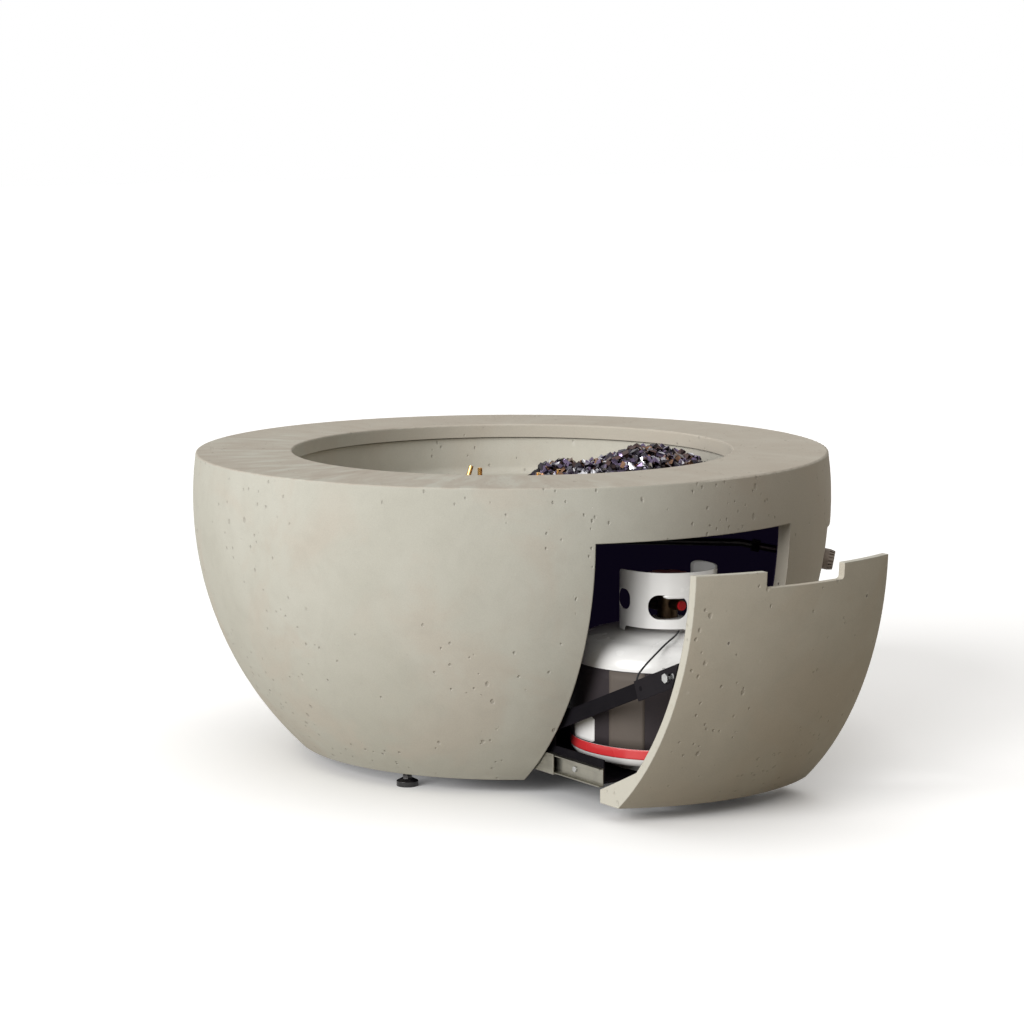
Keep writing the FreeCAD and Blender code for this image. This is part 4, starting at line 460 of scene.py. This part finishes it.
def chip_glass(name, dark, light, metallic, rough):
    """Mirror-backed or plain tempered glass chips, each facet with its own tone: a painted reflection."""
    material, tree, shader = new_look(name)
    at = place_of(tree)
    tint = cells(tree, at, 70.0)[1]
    # Painted reflections: a random tone per facet, from its normal, for glints inside the glass.
    facet = tree.nodes.new("ShaderNodeTexWhiteNoise")
    geometry = tree.nodes.new("ShaderNodeNewGeometry")
    tree.links.new(geometry.outputs["True Normal"], facet.inputs["Vector"])
    tone = mixture(tree, ((tint, 0.35), (facet.outputs["Value"], 0.65)))
    colour = steps(tree, tone, [(0.2, shade(*dark)), (0.8, shade(*light))])
    tree.links.new(colour, shader.inputs["Base Color"])
    sheen = spread(tree, noise(tree, at, 420.0), 0.35, 0.7, rough, rough + 0.10)
    tree.links.new(sheen, shader.inputs["Roughness"])
    shader.inputs["Metallic"].default_value = metallic
    shader.inputs["Specular IOR Level"].default_value = 0.4
    return material


BOWL = concrete("bowl_concrete", (0.490, 0.480, 0.418), (0.550, 0.542, 0.482), (0.520, 0.484, 0.418),
                bowl=True)
# Painted shade: the drawer front's concrete is a darker, warmer copy of the bowl's, for a face turned from
# the key light.
PANEL_SHADED = concrete("drawer_concrete_shaded", (0.438, 0.402, 0.334), (0.496, 0.462, 0.390), (0.468, 0.420, 0.344),
                 cut_edges=True)
BASIN = concrete("basin_concrete", (0.500, 0.480, 0.416), (0.560, 0.540, 0.474), (0.530, 0.490, 0.420))
GASKET = coating("gasket_rubber", (0.165, 0.132, 0.104), (0.240, 0.198, 0.158), 0.72,
                 scale=120.0, depth=0.0002, ripple=0.6, gloss=0.3)
ZINC = metal("zinc_plate", (0.40, 0.40, 0.39), (0.62, 0.63, 0.63), 0.30,
             scale=90.0, depth=0.00005, edge=0.0005)
SLIDE = metal("slide_zinc", (0.26, 0.25, 0.215), (0.42, 0.405, 0.350), 0.36,
              scale=22.0, depth=0.00006, along=(9.0, 0.25, 9.0), edge=0.0005)
BLACK = powder_coat("black_powder_coat", (0.0055, 0.0048, 0.0064), (0.0090, 0.0080, 0.0098), 0.62, 0.04)
STRAP = powder_coat("strap_powder_coat", (0.0115, 0.0100, 0.0122), (0.0160, 0.0142, 0.0165), 0.60, 0.06)
# Painted shade: the control valve gets a near-black metal, matching the dark drawer bay.
VALVE_SHADED = metal("valve_painted_shade_metal", (0.040, 0.030, 0.034), (0.085, 0.066, 0.070), 0.40,
              scale=110.0, depth=0.00005)
BRONZE = metal("tank_valve_bronze", (0.050, 0.031, 0.018), (0.115, 0.074, 0.042), 0.42,
               scale=110.0, depth=0.00005)
BRASS = metal("brass", (0.52, 0.30, 0.095), (0.80, 0.52, 0.20), 0.24,
              scale=110.0, depth=0.00004, edge=0.0004)
TUBE = metal("supply_tube_metal", (0.030, 0.028, 0.030), (0.060, 0.056, 0.058), 0.40,
             scale=70.0, depth=0.00008)
WHITE = coating("tank_paint", (0.735, 0.730, 0.715), (0.800, 0.797, 0.785), 0.24,
                scale=60.0, depth=0.00012, ripple=0.30, coat=0.25, edge=0.0010)
RED = coating("red_plastic", (0.50, 0.010, 0.016), (0.62, 0.016, 0.022), 0.40,
              scale=120.0, ripple=0.4, gloss=0.3)
WHEEL = coating("handwheel_plastic", (0.135, 0.010, 0.022), (0.190, 0.016, 0.030), 0.36,
                scale=120.0, ripple=0.4)
KNOB = metal("knob_bronze", (0.160, 0.128, 0.104), (0.225, 0.186, 0.152), 0.46,
             scale=120.0, depth=0.00005, metallic=0.75, edge=0.0006)
FOOT = coating("foot_plastic", (0.0085, 0.0080, 0.0090), (0.0150, 0.0145, 0.0160), 0.24,
               scale=140.0, ripple=0.4, gloss=0.7)
# Painted shade: the foot studs get a dark steel, for the shade under the bowl.
STUD_SHADED = metal("stud_steel", (0.045, 0.043, 0.044), (0.100, 0.096, 0.096), 0.34,
             scale=90.0, depth=0.0001, along=(1, 1, 6.0))
CORD = coating("tether_cord", (0.010, 0.010, 0.011), (0.026, 0.026, 0.028), 0.55,
               scale=300.0, depth=0.0003, ripple=0.8, gloss=0.35, edge=0.0)
LABEL = print_film("label_grey", (0.030, 0.0245, 0.0270), (0.037, 0.0310, 0.0335), 0.56, 0.10)
# Painted reflection: a pale band on the glossy label, where it mirrors a light area.
LABEL_REFLECTION = print_film("label_painted_reflection", (0.108, 0.090, 0.078), (0.122, 0.104, 0.090), 0.52, 0.12)
STRIPE = print_film("label_red", (0.56, 0.030, 0.034), (0.66, 0.042, 0.044), 0.30, 0.5, coat=0.2)
PATCH = print_film("label_white", (0.74, 0.735, 0.725), (0.80, 0.795, 0.785), 0.34, 0.5, coat=0.1)
CHIPS = [
    chip_glass("chip_violet", (0.006, 0.004, 0.010), (0.175, 0.135, 0.220), 0.90, 0.03),
    chip_glass("chip_bronze", (0.024, 0.012, 0.009), (0.320, 0.180, 0.110), 0.95, 0.04),
    chip_glass("chip_smoke", (0.004, 0.003, 0.005), (0.050, 0.040, 0.060), 0.30, 0.03),
    chip_glass("chip_silver", (0.080, 0.074, 0.096), (0.920, 0.910, 0.940), 0.95, 0.03),
    chip_glass("chip_umber", (0.010, 0.006, 0.007), (0.130, 0.078, 0.070), 0.70, 0.05),
]

USES = [
    (BOWL, ["bowl_shell"]),
    (PANEL_SHADED, ["drawer_front"]),
    (BASIN, ["fire_basin"]),
    (GASKET, ["basin_gasket"]),
    (ZINC, ["basin_bolts", "rail_bolts", "tray_bolts", "brace_bolts", "bracket_screws", "rail_screws",
            "tray_screws", "foot_inserts", "brace_bracket_left", "brace_bracket_right"]),
    (SLIDE, ["slide_outer_left", "slide_outer_right", "slide_middle_left", "slide_middle_right",
             "slide_inner_left", "slide_inner_right"]),
    (BLACK, ["base_rail_left", "base_rail_right", "rear_crossbar", "drawer_tray", "tank_locator",
             "brace_bar_left", "brace_bar_right", "brace_rivets"]),
    (STRAP, ["brace_plate_left", "brace_plate_right"]),
    (VALVE_SHADED, ["control_valve"]),
    (BRASS, ["burner_hub", "burner_locknut", "burner_caps", "burner_jets", "burner_arms", "valve_nut",
             "valve_stem"]),
    (BRONZE, ["tank_valve"]),
    (TUBE, ["supply_tube", "tube_nuts"]),
    (WHITE, ["tank_body", "foot_ring", "tank_collar"]),
    (RED, ["relief_cap"]),
    (WHEEL, ["tank_handwheel"]),
    (KNOB, ["control_knob"]),
]
for corner in ("front_left", "front_right", "rear_left", "rear_right"):
    USES += [(FOOT, ["foot_pad_" + corner]), (STUD_SHADED, ["foot_stud_" + corner])]


def give_materials():
    """Puts a material on every node but the cord and the glass, which pieces replace."""
    for material, names in USES:
        for name in names:
            data = nodes[name].data
            data.materials.clear()
            data.materials.append(material)


give_materials()


# Pieces
def new_piece(name, shape, materials, body, smooth=True):
    """Makes an object from a bmesh, with its materials, riding on a body."""
    data = bpy.data.meshes.new(name)
    shape.to_mesh(data)
    shape.free()
    for material in materials:
        data.materials.append(material)
    if smooth:
        data.shade_smooth()
    made = bpy.data.objects.new(name, data)
    scene.collection.objects.link(made)
    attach(made, body)
    return made


def make_tether():
    """The thin cord from the cylinder's neck to the brace bar, on the CAD route's points."""
    data = bpy.data.curves.new("tether_line", "CURVE")
    data.dimensions = "3D"
    data.bevel_depth = TETHER_RADIUS
    data.bevel_resolution = 3
    data.resolution_u = 16
    data.use_fill_caps = True
    spline = data.splines.new("NURBS")
    spline.points.add(len(TETHER_ROUTE) - 1)
    for point, place in zip(spline.points, TETHER_ROUTE):
        point.co = (*place, 1.0)
    spline.order_u = 3
    spline.use_endpoint_u = True
    data.materials.append(CORD)
    made = bpy.data.objects.new("tether_line", data)
    scene.collection.objects.link(made)
    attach(made, "drawer")
    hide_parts("tether_cord")


make_tether()


def round_tank(turn, radius, level):
    """A point round the cylinder's axis: turn in radians from the front (-Y) towards -X."""
    return (-math.sin(turn) * radius, TANK_Y - math.cos(turn) * radius, level)


def band_sheet(shape, low, high, start, end, radius, width, corner, across, rows):
    """One face of a film band round the cylinder, as rows of points; the rows pull in at both ends round its
    corners.
    """
    sheet = []
    for row in range(rows + 1):
        line = []
        for step in range(across + 1):
            along = step / across
            from_end = min(along, 1 - along) * width
            sag = 0.0
            if from_end < corner:
                sag = corner - math.sqrt(max(0.0, corner ** 2 - (corner - from_end) ** 2))
            level = low + sag + (high - low - 2 * sag) * row / rows
            turn = math.radians(start + (end - start) * along)
            line.append(shape.verts.new(round_tank(turn, radius, level)))
        sheet.append(line)
    return sheet


def band(name, material, low, high, start, end, radius, corner=0.0):
    """A thin film round the cylinder, for print and for the painted reflection band: angles in degrees from
    the front (-Y) towards -X.
    """
    shape = bmesh.new()
    across = max(6, int(abs(end - start) / 2))
    rows = 8
    width = math.radians(end - start) * radius
    inner, outer = [band_sheet(shape, low, high, start, end, layer, width, corner, across, rows)
                    for layer in (radius, radius + LABEL_THICKNESS)]
    for j in range(rows):
        for i in range(across):
            shape.faces.new((outer[j][i], outer[j][i + 1], outer[j + 1][i + 1], outer[j + 1][i]))
            shape.faces.new((inner[j][i], inner[j + 1][i], inner[j + 1][i + 1], inner[j][i + 1]))
    for i in range(across):
        shape.faces.new((inner[0][i], inner[0][i + 1], outer[0][i + 1], outer[0][i]))
        shape.faces.new((inner[rows][i], outer[rows][i], outer[rows][i + 1], inner[rows][i + 1]))
    for j in range(rows):
        shape.faces.new((inner[j][0], outer[j][0], outer[j + 1][0], inner[j + 1][0]))
        shape.faces.new((inner[j][across], inner[j + 1][across], outer[j + 1][across], outer[j][across]))
    bmesh.ops.recalc_face_normals(shape, faces=shape.faces[:])
    new_piece(name, shape, [material], "drawer")


# Name, material, heights, angles, radius and corner radius
band("tank_label", LABEL, 0.1014, 0.2207, -150.0, 150.0, LABEL_RADIUS, 0.006)
# Painted reflection: a pale band where the glossy label mirrors a light area.
band("label_reflection_band", LABEL_REFLECTION, 0.1024, 0.2197, 50.5, 73.2, SECOND_LAYER)
band("label_stripe", STRIPE, 0.0858, 0.1010, -150.0, 150.0, LABEL_RADIUS, 0.004)
band("label_patch", PATCH, 0.1030, 0.1420, 84.5, 108.0, SECOND_LAYER, 0.0025)


def make_hand_grip():
    """The rolled upper edge of the collar's front hand hole, with rounded ends."""
    shape = bmesh.new()
    count = 24
    sides = 12
    rings = []
    for step in range(count + 1):
        share = step / count
        turn = math.radians(GRIP_START + (GRIP_END - GRIP_START) * share)
        swell = GRIP_THICKNESS * min(1.0, math.sqrt(max(0.02, 5.0 * min(share, 1.0 - share))))
        ring = []
        for side in range(sides):
            roll = math.tau * side / sides
            place = round_tank(turn, GRIP_RADIUS + swell * GRIP_FLATNESS * math.cos(roll),
                               GRIP_LEVEL + swell * math.sin(roll))
            ring.append(shape.verts.new(place))
        rings.append(ring)
    for near, far in zip(rings, rings[1:]):
        for side in range(sides):
            after = (side + 1) % sides
            shape.faces.new((near[side], near[after], far[after], far[side]))
    shape.faces.new(rings[0])
    shape.faces.new(rings[-1])
    bmesh.ops.recalc_face_normals(shape, faces=shape.faces)
    return new_piece("hand_grip_roll", shape, [WHITE], "drawer")


hand_grip = make_hand_grip()


def add_chip(shape, rng, place, slot, size):
    """One chip: a crooked block, turned at random, lifted clear of the basin floor."""
    half = [size * rng.uniform(*span) for span in CHIP_HALVES]
    turn = Matrix.Rotation(rng.uniform(0, math.tau), 3, "Z")
    for axis in "XY":
        turn = turn @ Matrix.Rotation(rng.uniform(-CHIP_TILT, CHIP_TILT), 3, axis)
    corners = []
    for signs in itertools.product((-1, 1), repeat=3):
        reach = [sign * side * rng.uniform(*span) for sign, side, span in zip(signs, half, CHIP_STRAYS)]
        corners.append(turn @ Vector(reach) + place)
    lift = max(0.0, FLOOR_TOP + CHIP_CLEARANCE - min(corner.z for corner in corners))
    verts = [shape.verts.new(corner + Vector((0, 0, lift))) for corner in corners]
    hull = bmesh.ops.convex_hull(shape, input=verts, use_existing_faces=False)
    for item in hull["geom"]:
        if isinstance(item, bmesh.types.BMFace):
            item.material_index = slot


def make_fire_glass():
    """Glass chips over the CAD heap: one on each node of its faceted skin, and smaller ones between them."""
    rng = random.Random(41)
    heap = nodes["fire_glass"].data
    heap.calc_loop_triangles()
    shape = bmesh.new()
    kinds = range(len(CHIPS))
    seen = set()
    for triangle in heap.loop_triangles:
        corners = [heap.vertices[i].co for i in triangle.vertices]
        normal = triangle.normal
        underside = normal.z < -0.5
        if underside:
            continue
        for corner in corners:
            key = tuple(round(v, 4) for v in corner)
            if key in seen or corner.z < FLOOR_TOP + HEAP_FOOT:
                continue
            seen.add(key)
            kind = rng.choices(kinds, CHIP_SHARES)[0]
            add_chip(shape, rng, corner - Vector((0, 0, BIG_SINK)), kind, BIG_CHIP)
        a, b, c = corners
        wanted = triangle.area / CHIP_SPACING ** 2
        count = int(wanted)
        if rng.random() < wanted - count:
            count += 1
        for _ in range(count):
            u = rng.random()
            v = rng.random()
            if u + v > 1:
                u, v = 1 - u, 1 - v
            place = a + (b - a) * u + (c - a) * v - normal * rng.uniform(*SMALL_SINKS)
            kind = rng.choices(kinds, CHIP_SHARES)[0]
            add_chip(shape, rng, place, kind, SMALL_CHIP)
    piece = new_piece("fire_glass_chips", shape, CHIPS, "bowl", smooth=False)
    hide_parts("fire_glass")


make_fire_glass()


# Floor and light
def seen_directly(tree):
    """1 for what is seen, also in a mirror or through glass; 0 where a surface only lights others."""
    path = tree.nodes.new("ShaderNodeLightPath").outputs
    mirrored = maths(tree, "MAXIMUM", path["Is Glossy Ray"], path["Is Transmission Ray"])
    return maths(tree, "MAXIMUM", path["Is Camera Ray"], mirrored)


def make_floor():
    """A white floor that fills the view, keeps the shadow, gets a painted contact shadow near the part and
    throws warm light back up.
    """
    shape = bmesh.new()
    bmesh.ops.create_grid(shape, x_segments=8, y_segments=8, size=FLOOR_HALF)
    data = bpy.data.meshes.new("floor")
    shape.to_mesh(data)
    shape.free()
    material, tree, shader = new_look("floor_paper")
    tone = noise(tree, place_of(tree), 3.0, 3.0, 0.5)
    white = steps(tree, tone, [(0.3, shade(0.985, 0.985, 0.985)), (0.7, shade(1.0, 1.0, 1.0))])
    seen = seen_directly(tree)
    tree.links.new(blend_colour(tree, seen, shade(*FLOOR_BOUNCE), white), shader.inputs["Base Color"])
    shader.inputs["Emission Color"].default_value = shade(1, 1, 1)
    # Painted shadow: the glow fades near the part, darkening the floor there.
    open_floor = tree.nodes.new("ShaderNodeAmbientOcclusion")
    open_floor.samples = 8
    open_floor.inputs["Distance"].default_value = GLOW_REACH
    glow = maths(tree, "MULTIPLY", seen, open_floor.outputs["AO"])
    tree.links.new(maths(tree, "MULTIPLY", glow, FLOOR_GLOW), shader.inputs["Emission Strength"])
    shader.inputs["Roughness"].default_value = 0.9
    shader.inputs["Specular IOR Level"].default_value = 0.0
    material.cycles.emission_sampling = "NONE"
    data.materials.append(material)
    made = bpy.data.objects.new("floor", data)
    scene.collection.objects.link(made)


def make_sun(name, direction, energy, angle):
    """A broad lamp far off in a direction: angle in degrees."""
    data = bpy.data.lights.new(name, "SUN")
    data.energy = energy
    data.angle = math.radians(angle)
    lamp = bpy.data.objects.new(name, data)
    lamp.rotation_euler = direction.to_track_quat("Z", "Y").to_euler()
    scene.collection.objects.link(lamp)
    return lamp


def towards(tree, direction):
    """How far the world's direction points towards a given one, from -1 to 1."""
    facing = tree.nodes.new("ShaderNodeVectorMath")
    facing.operation = "DOT_PRODUCT"
    tree.links.new(tree.nodes.new("ShaderNodeTexCoord").outputs["Generated"], facing.inputs[0])
    facing.inputs[1].default_value = direction.normalized()
    return facing.outputs["Value"]


def make_sky():
    """A sky that is bright overhead, with a weak warm fill from the right; seen directly, it is white."""
    world = bpy.data.worlds.new("studio")
    scene.world = world
    world.use_nodes = True
    tree = world.node_tree
    back = tree.nodes["Background"]
    above = spread(tree, towards(tree, OVERHEAD), 0.15, 1.0)
    sky = blend_colour(tree, above, shade(*SKY_LOW), shade(*SKY_TOP))
    beside = spread(tree, towards(tree, FILL), 0.3, 1.0)
    sky = blend_colour(tree, beside, sky, shade(*FILL_COLOUR), "ADD")
    tree.links.new(blend_colour(tree, seen_directly(tree), sky, shade(1, 1, 1)), back.inputs["Color"])
    back.inputs["Strength"].default_value = 1.0


def make_collar_light():
    """A weak light from the front left for the cylinder's collar alone, which the bowl shades."""
    lamp = make_sun("collar_fill", COLLAR_FILL, COLLAR_ENERGY, COLLAR_ANGLE)
    lit = bpy.data.collections.new("collar_fill_on")
    for made in (nodes["tank_collar"], nodes["relief_cap"], hand_grip):
        lit.objects.link(made)
    lamp.light_linking.receiver_collection = lit


make_floor()
make_sun("key", KEY, KEY_ENERGY, KEY_ANGLE)
make_sky()
make_collar_light()
scene.view_settings.view_transform = "Standard"
